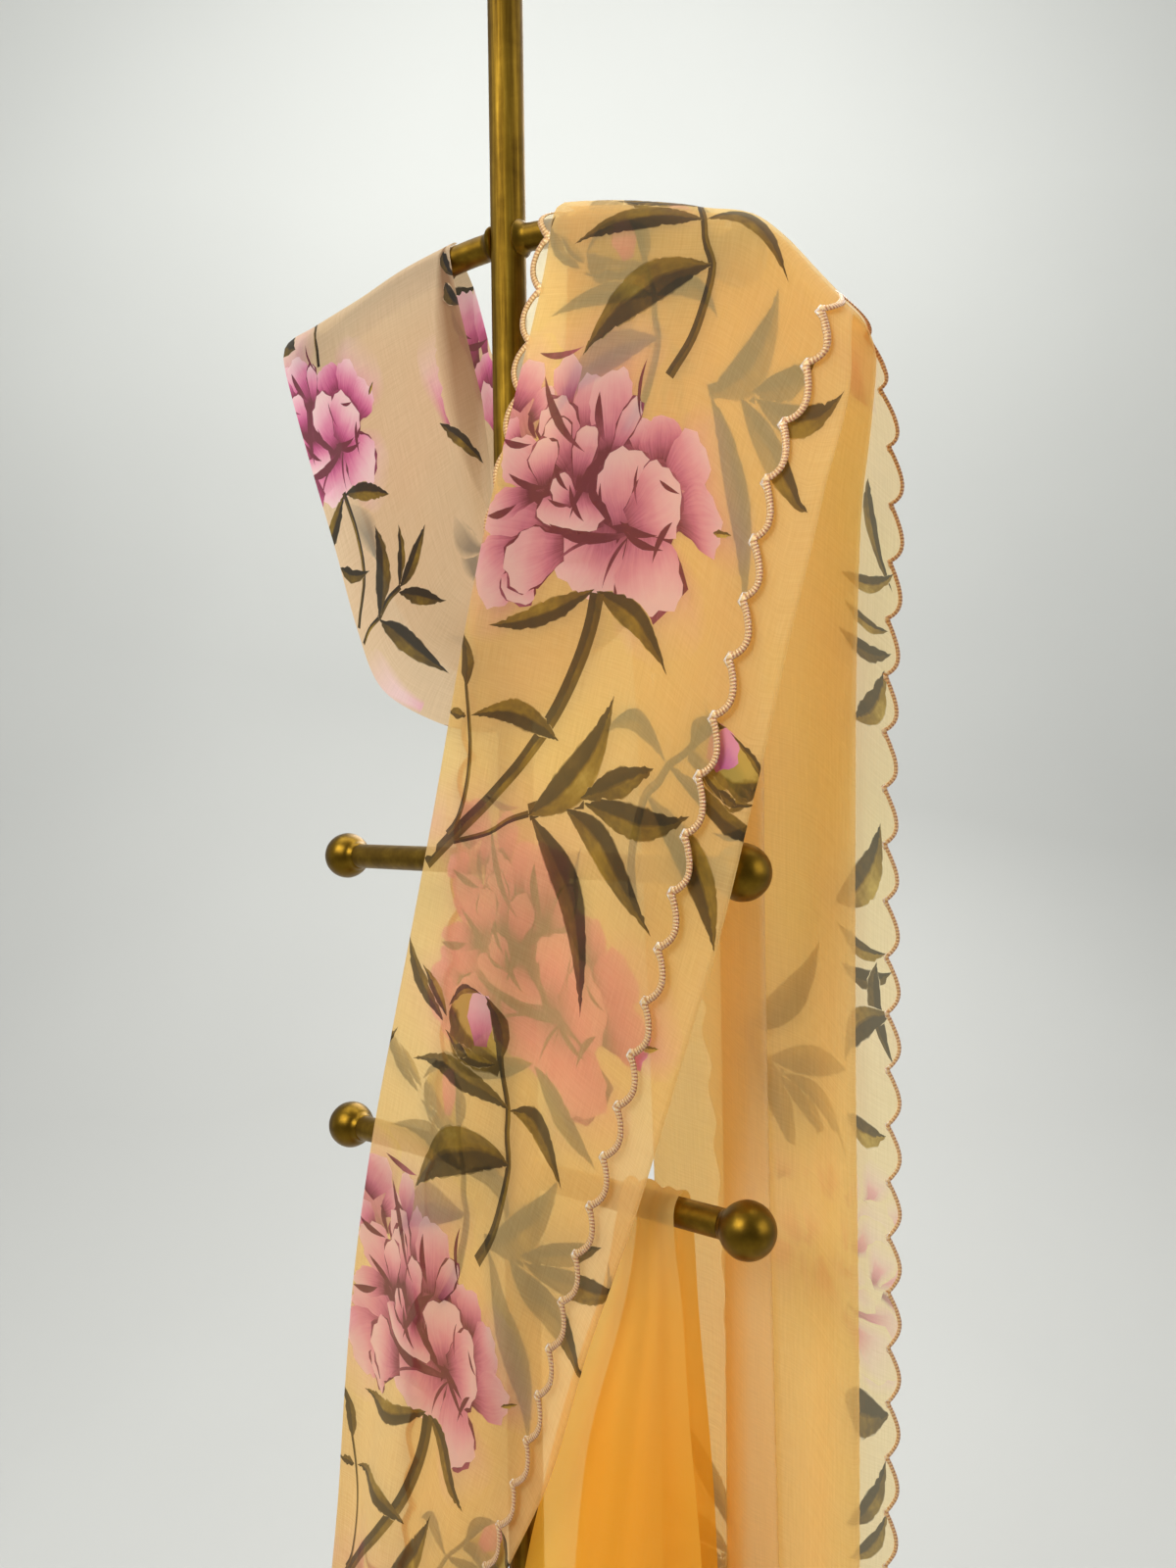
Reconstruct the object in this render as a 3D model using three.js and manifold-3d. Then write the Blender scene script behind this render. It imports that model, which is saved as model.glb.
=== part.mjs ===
// A printed organza saree hung over a brass display stand with three levels of arms.
// Millimetres, +Z up. The origin is the middle of the base plate's underside.
import * as THREE from "three";
import * as BufferGeometryUtils from "three/addons/utils/BufferGeometryUtils.js";
import Module from "manifold-3d";

const wasm = await Module();
wasm.setup();

// Stand.
const poleRadius = 12.5;
const poleTop = 1796;
const rodRadius = 9.5;
const ballRadius = 18;
const baseRadius = 190;
const baseHeight = 12;
const collarRadius = 24;
const collarHeight = 22;
const collarBevel = 6;
const finialRadius = 18;
const seatGap = 0.3;
const ballFacets = [16, 10];
const yoke = { height: 1598.5, reach: 176, droop: 50, turn: THREE.MathUtils.degToRad(30) };
const barReach = 193;
const barTurn = THREE.MathUtils.degToRad(41.7);
const bars = [
  { name: "middle", height: 1159 },
  { name: "lower", height: 941.5 },
];

// Cloth.
const clothWall = 1;
const ridgeGap = 0.35;
const rowSpacing = 78;
const layerSteps = 9;
const swagSteps = 8;
const pleatCount = 5;

const brass = new THREE.MeshStandardMaterial({ color: 0x8f6e34, roughness: 0.38, metalness: 1 });
const peachCloth = new THREE.MeshStandardMaterial({ color: 0xe6c193, roughness: 0.7, metalness: 0 });
const orangeCloth = new THREE.MeshStandardMaterial({ color: 0xe5a03c, roughness: 0.7, metalness: 0 });

// The cloth is laid out along the top yoke: along runs down its right arm, depth runs away
// from the front, and height is Z.
function fromYoke(along, depth, height) {
  const c = Math.cos(yoke.turn);
  const s = Math.sin(yoke.turn);
  return new THREE.Vector3(along * c + depth * s, -along * s + depth * c, height);
}

const yokeHeight = (along) => yoke.height - yoke.droop * (along / yoke.reach) ** 2;
// How much taller an upright slice of the drooping rod is than the rod itself.
const yokeLean = (along) => Math.hypot(1, (2 * yoke.droop * along) / yoke.reach ** 2);
const mix = (a, b, t) => a + (b - a) * t;
const smooth = (t) => {
  const x = Math.min(1, Math.max(0, t));
  return x * x * (3 - 2 * x);
};

// Reads one named column of a table at a place in its first column, along a smooth curve.
function read(table, key, name, at) {
  const last = table.length - 1;
  if (at <= table[0][key]) return table[0][name];
  if (at >= table[last][key]) return table[last][name];
  let i = 0;
  while (table[i + 1][key] < at) i += 1;
  const slope = (k) => {
    const a = Math.max(0, k - 1);
    const b = Math.min(last, k + 1);
    return (table[b][name] - table[a][name]) / (table[b][key] - table[a][key]);
  };
  const span = table[i + 1][key] - table[i][key];
  const t = (at - table[i][key]) / span;
  const start = (2 * t ** 3 - 3 * t ** 2 + 1) * table[i][name];
  const end = (3 * t ** 2 - 2 * t ** 3) * table[i + 1][name];
  const leave = (t ** 3 - 2 * t ** 2 + t) * span * slope(i);
  const arrive = (t ** 3 - t ** 2) * span * slope(i + 1);
  return start + end + leave + arrive;
}

// Top line of the pallu's outer layer over the right arm, and how far it stands off the arm.
const ridge = [
  { along: -20, top: 1616, reach: 18.5 },
  { along: 33, top: 1615.2, reach: 18.5 },
  { along: 64, top: 1611, reach: 18.5 },
  { along: 100, top: 1602.8, reach: 19.5 },
  { along: 139, top: 1591, reach: 22 },
  { along: 160, top: 1583, reach: 25 },
  { along: 181, top: 1576.5, reach: 26 },
  { along: 192, top: 1570.5, reach: 26.5 },
  { along: 206, top: 1557, reach: 28 },
  { along: 225, top: 1533, reach: 31 },
  { along: 244, top: 1510, reach: 33 },
  { along: 262, top: 1492, reach: 34 },
];

// The folded band that hangs down the front. fall is the cloth's length from the ridge. Its
// outer layer runs between the left fold and the right selvedge, the middle layer runs back
// to the plain fold, and the inner layer ends at the inner selvedge.
const frontBand = {
  facing: -1,
  hang: 1450,
  waves: 2.4,
  phase: 0.12,
  rows: [
    { fall: 0, left: 64, leftZ: 1611, right: 248, rightZ: 1505, plain: 250, inner: 38 },
    { fall: 50, left: 55, leftZ: 1571, right: 245, rightZ: 1477, plain: 257, inner: 30 },
    { fall: 100, left: 38, leftZ: 1524, right: 229, rightZ: 1431, plain: 253, inner: 19 },
    { fall: 160, left: 19, leftZ: 1467, right: 216, rightZ: 1373, plain: 243, inner: 9 },
    { fall: 230, left: -1, leftZ: 1400, right: 205, rightZ: 1305, plain: 227, inner: -8 },
    { fall: 300, left: -18, leftZ: 1332, right: 186, rightZ: 1238, plain: 212, inner: -19 },
    { fall: 400, left: -42, leftZ: 1235, right: 160, rightZ: 1141, plain: 186, inner: -33 },
    { fall: 500, left: -69, leftZ: 1139, right: 130, rightZ: 1047, plain: 153, inner: -48 },
    { fall: 600, left: -97, leftZ: 1043, right: 97, rightZ: 953, plain: 119, inner: -63 },
    { fall: 700, left: -124, leftZ: 947, right: 62, rightZ: 859, plain: 80, inner: -77 },
    { fall: 800, left: -145, leftZ: 849, right: 31, rightZ: 765, plain: 46, inner: -87 },
    { fall: 900, left: -158, leftZ: 750, right: -8, rightZ: 672, plain: -2, inner: -96 },
    { fall: 1000, left: -169, leftZ: 651, right: -42, rightZ: 580, plain: -44, inner: -112 },
    { fall: 1150, left: -194, leftZ: 503, right: -70, rightZ: 435, plain: -74, inner: -155 },
    { fall: 1300, left: -220, leftZ: 355, right: -88, rightZ: 287, plain: -93, inner: -185 },
    { fall: 1450, left: -244, leftZ: 207, right: -96, rightZ: 138, plain: -102, inner: -205 },
  ],
  // Depth of the outer layer, by height: how far out it is at the pole, and its slant along.
  depth: [
    { height: 140, out: 42, slant: 0.18 },
    { height: 500, out: 42, slant: 0.2 },
    { height: 740, out: 41, slant: 0.22 },
    { height: 941, out: 38, slant: 0.23 },
    { height: 1160, out: 34, slant: 0.22 },
    { height: 1280, out: 32, slant: 0.17 },
    { height: 1380, out: 28, slant: 0.12 },
    { height: 1480, out: 23, slant: 0.06 },
    { height: 1560, out: 19, slant: 0.035 },
  ],
  // How deep the soft folds are, how far apart the layers lie, and the inner layer's step.
  loose: [
    { fall: 0, wave: 0, pitch: 3, step: 0 },
    { fall: 120, wave: 0, pitch: 3, step: 0 },
    { fall: 300, wave: 2, pitch: 4.5, step: 0 },
    { fall: 600, wave: 4.5, pitch: 5, step: 0 },
    { fall: 900, wave: 6, pitch: 5.5, step: 0 },
    { fall: 1450, wave: 8, pitch: 6, step: 0 },
  ],
};

const backBand = {
  facing: 1,
  hang: 1370,
  waves: 2.5,
  phase: 0.35,
  rows: [
    { fall: 0, left: 64, leftZ: 1611, right: 248, rightZ: 1505, plain: 250, inner: 38 },
    { fall: 50, left: 62, leftZ: 1571, right: 258, rightZ: 1478, plain: 254, inner: 50 },
    { fall: 100, left: 66, leftZ: 1521, right: 266, rightZ: 1430, plain: 250, inner: 62 },
    { fall: 160, left: 70, leftZ: 1461, right: 266, rightZ: 1370, plain: 242, inner: 76 },
    { fall: 230, left: 74, leftZ: 1391, right: 262, rightZ: 1300, plain: 238, inner: 90 },
    { fall: 300, left: 77, leftZ: 1321, right: 259, rightZ: 1231, plain: 236, inner: 100 },
    { fall: 500, left: 85, leftZ: 1121, right: 257, rightZ: 1031, plain: 234, inner: 124 },
    { fall: 700, left: 92, leftZ: 921, right: 253, rightZ: 831, plain: 233, inner: 142 },
    { fall: 900, left: 96, leftZ: 721, right: 246, rightZ: 632, plain: 229, inner: 148 },
    { fall: 1370, left: 105, leftZ: 251, right: 236, rightZ: 162, plain: 220, inner: 157 },
  ],
  depth: [
    { height: 140, out: 42, slant: 0.01 },
    { height: 1200, out: 41, slant: 0.01 },
    { height: 1380, out: 34, slant: 0.02 },
    { height: 1480, out: 26, slant: 0.03 },
    { height: 1560, out: 19, slant: 0.035 },
  ],
  loose: [
    { fall: 0, wave: 0, pitch: 3, step: 0 },
    { fall: 120, wave: 0, pitch: 3, step: 0 },
    { fall: 300, wave: 6, pitch: 6, step: 2 },
    { fall: 500, wave: 8, pitch: 7.5, step: 5 },
    { fall: 1370, wave: 10, pitch: 8, step: 5 },
  ],
};
// Where the inner layer of the back band steps towards the front.
const stepAlong = { from: 172, to: 184 };

// Lengths over which the shape of the ridge fades out of the hanging cloth.
const settle = { depth: 90, bulge: 700 };
const waveDrift = 2600;

// One point of a band: across runs from the left fold (0) to the outer selvedge (1), and
// inward is the distance behind the outer layer.
function bandPoint(band, across, fall, inward) {
  const rows = band.rows;
  const along = mix(read(rows, "fall", "left", fall), read(rows, "fall", "right", fall), across);
  const alongTop = mix(rows[0].left, rows[0].right, across);
  const archEnd = rows[1].fall;
  const reach = read(ridge, "along", "reach", fall < archEnd ? along : alongTop);
  const turn = Math.min(fall / reach, Math.PI / 2);
  const archDrop = reach * (1 - Math.cos(turn)) + Math.min(fall, archEnd) - reach * turn;
  const line = (at) => mix(read(rows, "fall", "leftZ", at), read(rows, "fall", "rightZ", at), across);
  let height = read(ridge, "along", "top", alongTop) - archDrop;
  let depth = reach * Math.sin(turn);
  if (fall > archEnd) {
    const bulge = height - line(archEnd);
    height = line(fall) + bulge * (1 - smooth((fall - archEnd) / settle.bulge));
    const slant = read(band.depth, "height", "slant", height);
    const hung = read(band.depth, "height", "out", height) + slant * along;
    depth = mix(reach, hung, smooth((fall - archEnd) / settle.depth));
  }
  const wave = read(band.loose, "fall", "wave", fall);
  depth += wave * Math.sin(2 * Math.PI * (band.waves * across + band.phase + fall / waveDrift));
  depth -= inward * Math.sin(turn);
  return fromYoke(along, band.facing * depth, height - inward * Math.cos(turn));
}

// The section of a folded band at one fall: outer layer, fold, middle layer, fold, inner layer.
function bandSection(band, fall) {
  const row = (name) => read(band.rows, "fall", name, fall);
  const width = row("right") - row("left");
  const plain = (row("plain") - row("left")) / width;
  const inner = (row("inner") - row("left")) / width;
  const pitch = read(band.loose, "fall", "pitch", fall);
  const step = read(band.loose, "fall", "step", fall);
  const points = [];
  const layer = (from, to, inward) => {
    for (let i = 0; i <= layerSteps; i += 1) points.push([mix(from, to, i / layerSteps), inward]);
  };
  const fold = (at, side, inward) => {
    for (const angle of [Math.PI / 4, Math.PI / 2, (3 * Math.PI) / 4]) {
      const out = (side * (pitch / 2) * Math.sin(angle)) / width;
      points.push([at + out, inward + (pitch / 2) * (1 - Math.cos(angle))]);
    }
  };
  layer(1, 0, 0);
  fold(0, -1, 0);
  layer(0, plain, pitch);
  fold(plain, 1, pitch);
  layer(plain, inner, 2 * pitch);
  return points.map(([across, inward]) => {
    const along = row("left") + width * across;
    const isInner = inward > 1.6 * pitch;
    const stepped = smooth((along - stepAlong.from) / (stepAlong.to - stepAlong.from));
    return bandPoint(band, across, fall, inward + (isInner ? step * stepped : 0));
  });
}

function bandRows(band) {
  const falls = [ridgeGap, 9, 18, 27, 36, 46, 60, 85, 120, 160, 205];
  const last = falls[falls.length - 1];
  const count = Math.round((band.hang - last) / rowSpacing);
  for (let i = 1; i <= count; i += 1) falls.push(mix(last, band.hang, i / count));
  return falls.map((fall) => bandSection(band, fall));
}

// Closes a grid of points into a wall of even thickness.
function wallGeometry(rows, thickness) {
  const high = rows.length;
  const wide = rows[0].length;
  const at = (r, c) => rows[Math.min(high - 1, Math.max(0, r))][Math.min(wide - 1, Math.max(0, c))];
  const positions = [];
  for (const side of [0.5, -0.5]) {
    for (let r = 0; r < high; r += 1) {
      for (let c = 0; c < wide; c += 1) {
        const across = at(r, c + 1).clone().sub(at(r, c - 1));
        const down = at(r + 1, c).clone().sub(at(r - 1, c));
        const normal = across.cross(down).normalize();
        positions.push(...at(r, c).clone().addScaledVector(normal, side * thickness).toArray());
      }
    }
  }
  const index = [];
  const front = (r, c) => r * wide + c;
  const back = (r, c) => high * wide + r * wide + c;
  const quad = (a, b, c, d) => index.push(a, b, c, a, c, d);
  for (let r = 0; r < high - 1; r += 1) {
    for (let c = 0; c < wide - 1; c += 1) {
      quad(front(r, c), front(r, c + 1), front(r + 1, c + 1), front(r + 1, c));
      quad(back(r, c), back(r + 1, c), back(r + 1, c + 1), back(r, c + 1));
    }
    quad(front(r, 0), front(r + 1, 0), back(r + 1, 0), back(r, 0));
    quad(front(r, wide - 1), back(r, wide - 1), back(r + 1, wide - 1), front(r + 1, wide - 1));
  }
  for (let c = 0; c < wide - 1; c += 1) {
    quad(front(0, c), back(0, c), back(0, c + 1), front(0, c + 1));
    quad(front(high - 1, c), front(high - 1, c + 1), back(high - 1, c + 1), back(high - 1, c));
  }
  const geometry = new THREE.BufferGeometry();
  geometry.setAttribute("position", new THREE.Float32BufferAttribute(positions, 3));
  geometry.setIndex(index);
  return geometry;
}

// The swag: a strip that leaves the left arm, sweeps past the pole and is laid over the right
// arm under the pallu. Its lower edge and its upper edge are given at each section.
const swagRadius = 10.4;
const leftRidge = [
  { along: -200, top: 1563, reach: 19.5 },
  { along: -192, top: 1567, reach: 19.5 },
  { along: -176, top: 1570.5, reach: 19.5 },
  { along: -158, top: 1576, reach: 17 },
  { along: -130, top: 1585, reach: 11.5 },
  { along: -90, top: 1598, reach: 10.4 },
  { along: -44, top: 1607.5, reach: 10.4 },
];
const frontSwag = {
  facing: -1,
  left: { low: -196, high: -44 },
  right: { low: 105, high: 56 },
  tail: 34,
  rows: [
    { low: -190, lowZ: 1520, high: -37, highZ: 1565, lowOut: 19, highOut: 12 },
    { low: -170, lowZ: 1457, high: -27, highZ: 1520, lowOut: 18, highOut: 13.5 },
    { low: -149, lowZ: 1395, high: -17, highZ: 1468, lowOut: 17, highOut: 15 },
    { low: -128, lowZ: 1330, high: -8, highZ: 1428, lowOut: 16.5, highOut: 15 },
    { low: -108, lowZ: 1288, high: 0, highZ: 1405, lowOut: 16, highOut: 15 },
    { low: -72, lowZ: 1266, high: 8, highZ: 1394, lowOut: 15.5, highOut: 15 },
    { low: -25, lowZ: 1252, high: 18, highZ: 1388, lowOut: 15, highOut: 15 },
    { low: 20, lowZ: 1256, high: 29, highZ: 1391, lowOut: 15, highOut: 15 },
    { low: 58, lowZ: 1282, high: 39, highZ: 1404, lowOut: 17, highOut: 15 },
    { low: 85, lowZ: 1328, high: 46, highZ: 1436, lowOut: 18, highOut: 14.5 },
    { low: 100, lowZ: 1395, high: 51, highZ: 1480, lowOut: 17, highOut: 13.5 },
    { low: 104, lowZ: 1470, high: 54, highZ: 1530, lowOut: 14, highOut: 12 },
  ],
};
const backSwag = {
  facing: 1,
  left: { low: -194, high: -46 },
  right: { low: 156, high: 114 },
  tail: 34,
  rows: [
    { low: -186, lowZ: 1522, high: -38, highZ: 1576, lowOut: 19, highOut: 12 },
    { low: -163, lowZ: 1460, high: -27, highZ: 1545, lowOut: 18, highOut: 13.5 },
    { low: -140, lowZ: 1400, high: -14, highZ: 1512, lowOut: 17, highOut: 15 },
    { low: -112, lowZ: 1345, high: 2, highZ: 1482, lowOut: 16, highOut: 15 },
    { low: -78, lowZ: 1308, high: 20, highZ: 1462, lowOut: 15, highOut: 15 },
    { low: -36, lowZ: 1290, high: 38, highZ: 1450, lowOut: 15, highOut: 15 },
    { low: 8, lowZ: 1288, high: 56, highZ: 1446, lowOut: 15, highOut: 15 },
    { low: 54, lowZ: 1302, high: 72, highZ: 1452, lowOut: 15, highOut: 15 },
    { low: 98, lowZ: 1336, high: 88, highZ: 1470, lowOut: 15.5, highOut: 14 },
    { low: 130, lowZ: 1392, high: 102, highZ: 1500, lowOut: 15.5, highOut: 13 },
    { low: 150, lowZ: 1460, high: 110, highZ: 1534, lowOut: 13, highOut: 12 },
  ],
};
const swagWave = { depth: 1.6, count: 2.2 };

function swagRows(swag) {
  const columns = Array.from({ length: swagSteps + 1 }, (_, i) => i / swagSteps);
  const rows = [];
  const quarter = Math.PI / 2;
  for (const turn of [0, 0.25, 0.5, 0.75, 1].map((part) => part * quarter)) {
    rows.push(columns.map((u) => {
      const along = mix(swag.left.low, swag.left.high, u);
      const reach = read(leftRidge, "along", "reach", along);
      const depth = turn === 0 ? ridgeGap : reach * Math.sin(turn);
      const height = read(leftRidge, "along", "top", along) - reach * (1 - Math.cos(turn));
      return fromYoke(along, swag.facing * depth, height);
    }));
  }
  swag.rows.forEach((row, i) => {
    const ease = smooth(i / 3) * smooth((swag.rows.length - 1 - i) / 4);
    rows.push(columns.map((u) => {
      const ripple = swagWave.depth * ease * Math.sin(2 * Math.PI * swagWave.count * u);
      const depth = mix(row.lowOut, row.highOut, u) + ripple;
      return fromYoke(mix(row.low, row.high, u), swag.facing * depth, mix(row.lowZ, row.highZ, u));
    }));
  });
  for (const turn of [1, 0.75, 0.5, 0.25, 0, -0.25, -0.5, -0.75, -1].map((part) => part * quarter)) {
    rows.push(columns.map((u) => {
      const along = mix(swag.right.low, swag.right.high, u);
      const height = yokeHeight(along) + swagRadius * yokeLean(along) * Math.cos(turn);
      return fromYoke(along, swag.facing * swagRadius * Math.sin(turn), height);
    }));
  }
  rows.push(columns.map((u) => {
    const along = mix(swag.right.low, swag.right.high, u);
    return fromYoke(along, -swag.facing * swagRadius, yokeHeight(along) - swag.tail);
  }));
  return rows;
}

// The plain body of the saree, bunched over the lower bar's right arm in deep pleats.
const pleatRadius = 13.2;
const pleatFront = [
  { fall: 0, left: 96, right: 141, deep: 2.6, out: 0, slant: 0.207 },
  { fall: 21, left: 97, right: 141, deep: 2.6, out: 13.2, slant: 0.207 },
  { fall: 75, left: 84, right: 147, deep: 3.6, out: 14, slant: 0.2 },
  { fall: 140, left: 58, right: 150, deep: 4.4, out: 16, slant: 0.17 },
  { fall: 220, left: 32, right: 156, deep: 5, out: 17.5, slant: 0.15 },
  { fall: 320, left: 9, right: 161, deep: 5, out: 19.5, slant: 0.14 },
  { fall: 520, left: 6, right: 168, deep: 5.4, out: 20, slant: 0.15 },
  { fall: 770, left: 2, right: 176, deep: 6, out: 21, slant: 0.15 },
];
const pleatBack = [
  { fall: 0, left: 96, right: 141, deep: 2.6, out: 0, slant: 0.207 },
  { fall: 21, left: 96, right: 140, deep: 2.6, out: 13.2, slant: 0.207 },
  { fall: 90, left: 84, right: 142, deep: 3.6, out: 12, slant: 0.17 },
  { fall: 220, left: 44, right: 148, deep: 5, out: 10, slant: 0.1 },
  { fall: 420, left: 26, right: 154, deep: 5.5, out: 9, slant: 0.08 },
  { fall: 790, left: 24, right: 160, deep: 6, out: 9, slant: 0.08 },
];

function pleatRow(table, facing, fall) {
  const get = (name) => read(table, "fall", name, fall);
  const turn = Math.min(fall / pleatRadius, Math.PI / 2);
  const drop = pleatRadius * (1 - Math.cos(turn)) + fall - pleatRadius * turn;
  const top = bars[1].height + pleatRadius;
  const points = [];
  const steps = 4 * pleatCount;
  for (let i = 0; i <= steps; i += 1) {
    const u = i / steps;
    const along = mix(get("left"), get("right"), u);
    const taper = mix(0.8, 1, smooth(u * 3));
    const pleat = get("deep") * taper * Math.sin(2 * Math.PI * pleatCount * u + 0.4);
    const out = (fall < 21 ? pleatRadius * Math.sin(turn) : get("out")) + pleat * Math.sin(turn);
    points.push(fromYoke(along, facing * out - get("slant") * along, top - drop + pleat * Math.cos(turn)));
  }
  return points;
}

function pleatRows() {
  const front = [770, 670, 570, 470, 380, 300, 230, 170, 120, 75, 45, 21, 14, 7];
  const back = [0, 7, 14, 21, 45, 75, 130, 200, 290, 400, 520, 650, 790];
  return [
    ...front.map((fall) => pleatRow(pleatFront, -1, fall)),
    ...back.map((fall) => pleatRow(pleatBack, 1, fall)),
  ];
}

// Turns a geometry into a manifold solid and back, for the seats of the arms.
function toSolid(geometry) {
  const bare = geometry.clone();
  bare.deleteAttribute("normal");
  bare.deleteAttribute("uv");
  const merged = BufferGeometryUtils.mergeVertices(bare, 1e-4);
  return new wasm.Manifold(new wasm.Mesh({
    numProp: 3,
    vertProperties: new Float32Array(merged.attributes.position.array),
    triVerts: new Uint32Array(merged.index.array),
  }));
}

function fromSolid(solid) {
  const mesh = solid.getMesh();
  const geometry = new THREE.BufferGeometry();
  geometry.setAttribute("position", new THREE.BufferAttribute(new Float32Array(mesh.vertProperties), 3));
  geometry.setIndex(new THREE.BufferAttribute(new Uint32Array(mesh.triVerts), 1));
  return geometry;
}

const saree = new THREE.Group();

function add(name, geometry, material) {
  const mesh = new THREE.Mesh(geometry, material);
  mesh.name = name;
  saree.add(mesh);
}

// Lathe profile closed on the axis.
function turned(profile) {
  const points = profile.map(([radius, height]) => new THREE.Vector2(radius, height));
  return new THREE.LatheGeometry(points, 32).rotateX(Math.PI / 2);
}

function addStand() {
  const bevel = 2;
  add("base_plate", turned([
    [0, 0],
    [baseRadius, 0],
    [baseRadius, baseHeight - bevel],
    [baseRadius - bevel, baseHeight],
    [0, baseHeight],
  ]), brass);
  const collarFoot = baseHeight + seatGap;
  add("pole_collar", turned([
    [poleRadius + seatGap, collarFoot],
    [collarRadius, collarFoot],
    [collarRadius, collarFoot + collarHeight - collarBevel],
    [collarRadius - collarBevel, collarFoot + collarHeight],
    [poleRadius + seatGap, collarFoot + collarHeight],
    [poleRadius + seatGap, collarFoot],
  ]), brass);
  const poleFoot = baseHeight + seatGap;
  add("pole", turned([
    [0, poleFoot],
    [poleRadius, poleFoot],
    [poleRadius, poleTop],
    [0, poleTop],
  ]), brass);
  const finialBottom = Math.sqrt(finialRadius ** 2 - poleRadius ** 2);
  const finialCentre = poleTop + seatGap + finialBottom;
  const arc = [];
  for (let i = 0; i <= 7; i += 1) {
    const start = Math.asin(-finialBottom / finialRadius);
    const angle = mix(start, Math.PI / 2, i / 7);
    arc.push([i === 7 ? 0 : finialRadius * Math.cos(angle), finialCentre + finialRadius * Math.sin(angle)]);
  }
  add("pole_finial", turned([[0, finialCentre - finialBottom], ...arc]), brass);
}

function ballGeometry(centre) {
  return new THREE.SphereGeometry(ballRadius, ...ballFacets).translate(centre.x, centre.y, centre.z);
}

// A rod from the pole to its ball, cut back to a seat at each end.
function rodSolid(curve, steps, ballCentre) {
  const section = new THREE.Shape();
  section.absarc(0, 0, rodRadius, 0, 2 * Math.PI, false);
  const rod = new THREE.ExtrudeGeometry(section, { steps, curveSegments: 8, extrudePath: curve });
  const poleRoom = new THREE.CylinderGeometry(poleRadius + seatGap, poleRadius + seatGap, 400, 32);
  poleRoom.rotateX(Math.PI / 2).translate(0, 0, ballCentre.z);
  const ballRoom = new THREE.SphereGeometry(ballRadius + seatGap, ...ballFacets);
  ballRoom.translate(ballCentre.x, ballCentre.y, ballCentre.z);
  const parts = toSolid(rod).subtract(toSolid(poleRoom)).subtract(toSolid(ballRoom)).decompose();
  return parts.reduce((best, part) => (part.volume() > best.volume() ? part : best));
}

function addArms() {
  const sides = [["left", -1], ["right", 1]];
  for (const [side, sign] of sides) {
    const centre = fromYoke(sign * yoke.reach, 0, yokeHeight(yoke.reach));
    const start = 2;
    const places = [0, 0.2, 0.4, 0.6, 0.8, 1].map((part) => {
      const along = sign * mix(start, yoke.reach, part);
      return fromYoke(along, 0, yokeHeight(along));
    });
    const curve = new THREE.CatmullRomCurve3(places);
    add(`yoke_${side}`, fromSolid(rodSolid(curve, 9, centre)), brass);
    add(`yoke_ball_${side}`, ballGeometry(centre), brass);
    for (const bar of bars) {
      const direction = new THREE.Vector3(Math.cos(barTurn), -Math.sin(barTurn), 0).multiplyScalar(sign);
      const end = direction.clone().multiplyScalar(barReach).setZ(bar.height);
      const from = direction.clone().multiplyScalar(start).setZ(bar.height);
      const line = new THREE.LineCurve3(from, end);
      add(`${bar.name}_rod_${side}`, fromSolid(rodSolid(line, 1, end)), brass);
      add(`${bar.name}_ball_${side}`, ballGeometry(end), brass);
    }
  }
}

addStand();
addArms();
add("pallu_front", wallGeometry(bandRows(frontBand), clothWall), peachCloth);
add("pallu_back", wallGeometry(bandRows(backBand).map((row) => row.slice().reverse()), clothWall), peachCloth);
add("swag_front", wallGeometry(swagRows(frontSwag), clothWall), peachCloth);
add("swag_back", wallGeometry(swagRows(backSwag).map((row) => row.slice().reverse()), clothWall), peachCloth);
add("body_pleats", wallGeometry(pleatRows(), clothWall), orangeCloth);

export default saree;
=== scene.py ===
import math

import bpy
import numpy as np
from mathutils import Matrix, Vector
from mathutils.geometry import delaunay_2d_cdt


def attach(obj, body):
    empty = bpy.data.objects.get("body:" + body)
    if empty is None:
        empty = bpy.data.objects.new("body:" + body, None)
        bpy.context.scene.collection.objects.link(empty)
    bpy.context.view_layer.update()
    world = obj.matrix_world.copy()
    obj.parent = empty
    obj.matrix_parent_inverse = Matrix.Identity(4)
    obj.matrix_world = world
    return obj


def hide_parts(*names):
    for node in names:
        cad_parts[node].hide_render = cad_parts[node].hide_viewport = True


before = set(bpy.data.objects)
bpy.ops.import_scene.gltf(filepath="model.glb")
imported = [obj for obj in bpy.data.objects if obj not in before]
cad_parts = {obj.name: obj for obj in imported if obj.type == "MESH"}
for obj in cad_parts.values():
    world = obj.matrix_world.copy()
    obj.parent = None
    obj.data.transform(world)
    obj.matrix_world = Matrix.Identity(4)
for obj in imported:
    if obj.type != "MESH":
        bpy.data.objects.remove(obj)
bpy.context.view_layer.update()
mm = 0.001


# small helpers

def smoothStep(t):
    x = np.clip(t, 0.0, 1.0)
    return x * x * (3 - 2 * x)


def mixValues(a, b, t):
    return a + (b - a) * t


def curveThrough(places, values, at):
    # a smooth curve through values that lie at rising places
    def spread(numbers):
        return np.reshape(numbers, np.shape(numbers) + (1,) * (values.ndim - 1))
    order, last = np.arange(len(places)), len(places) - 1
    below, above = np.maximum(order - 1, 0), np.minimum(order + 1, last)
    slopes = (values[above] - values[below]) / spread(places[above] - places[below])
    i = np.clip(np.searchsorted(places, at) - 1, 0, last - 1)
    span = places[i + 1] - places[i]
    t, span = spread((at - places[i]) / span), spread(span)
    start = (2 * t**3 - 3 * t**2 + 1) * values[i]
    end = (3 * t**2 - 2 * t**3) * values[i + 1]
    leave = (t**3 - 2 * t**2 + t) * span * slopes[i]
    arrive = (t**3 - t**2) * span * slopes[i + 1]
    return start + end + leave + arrive


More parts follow.
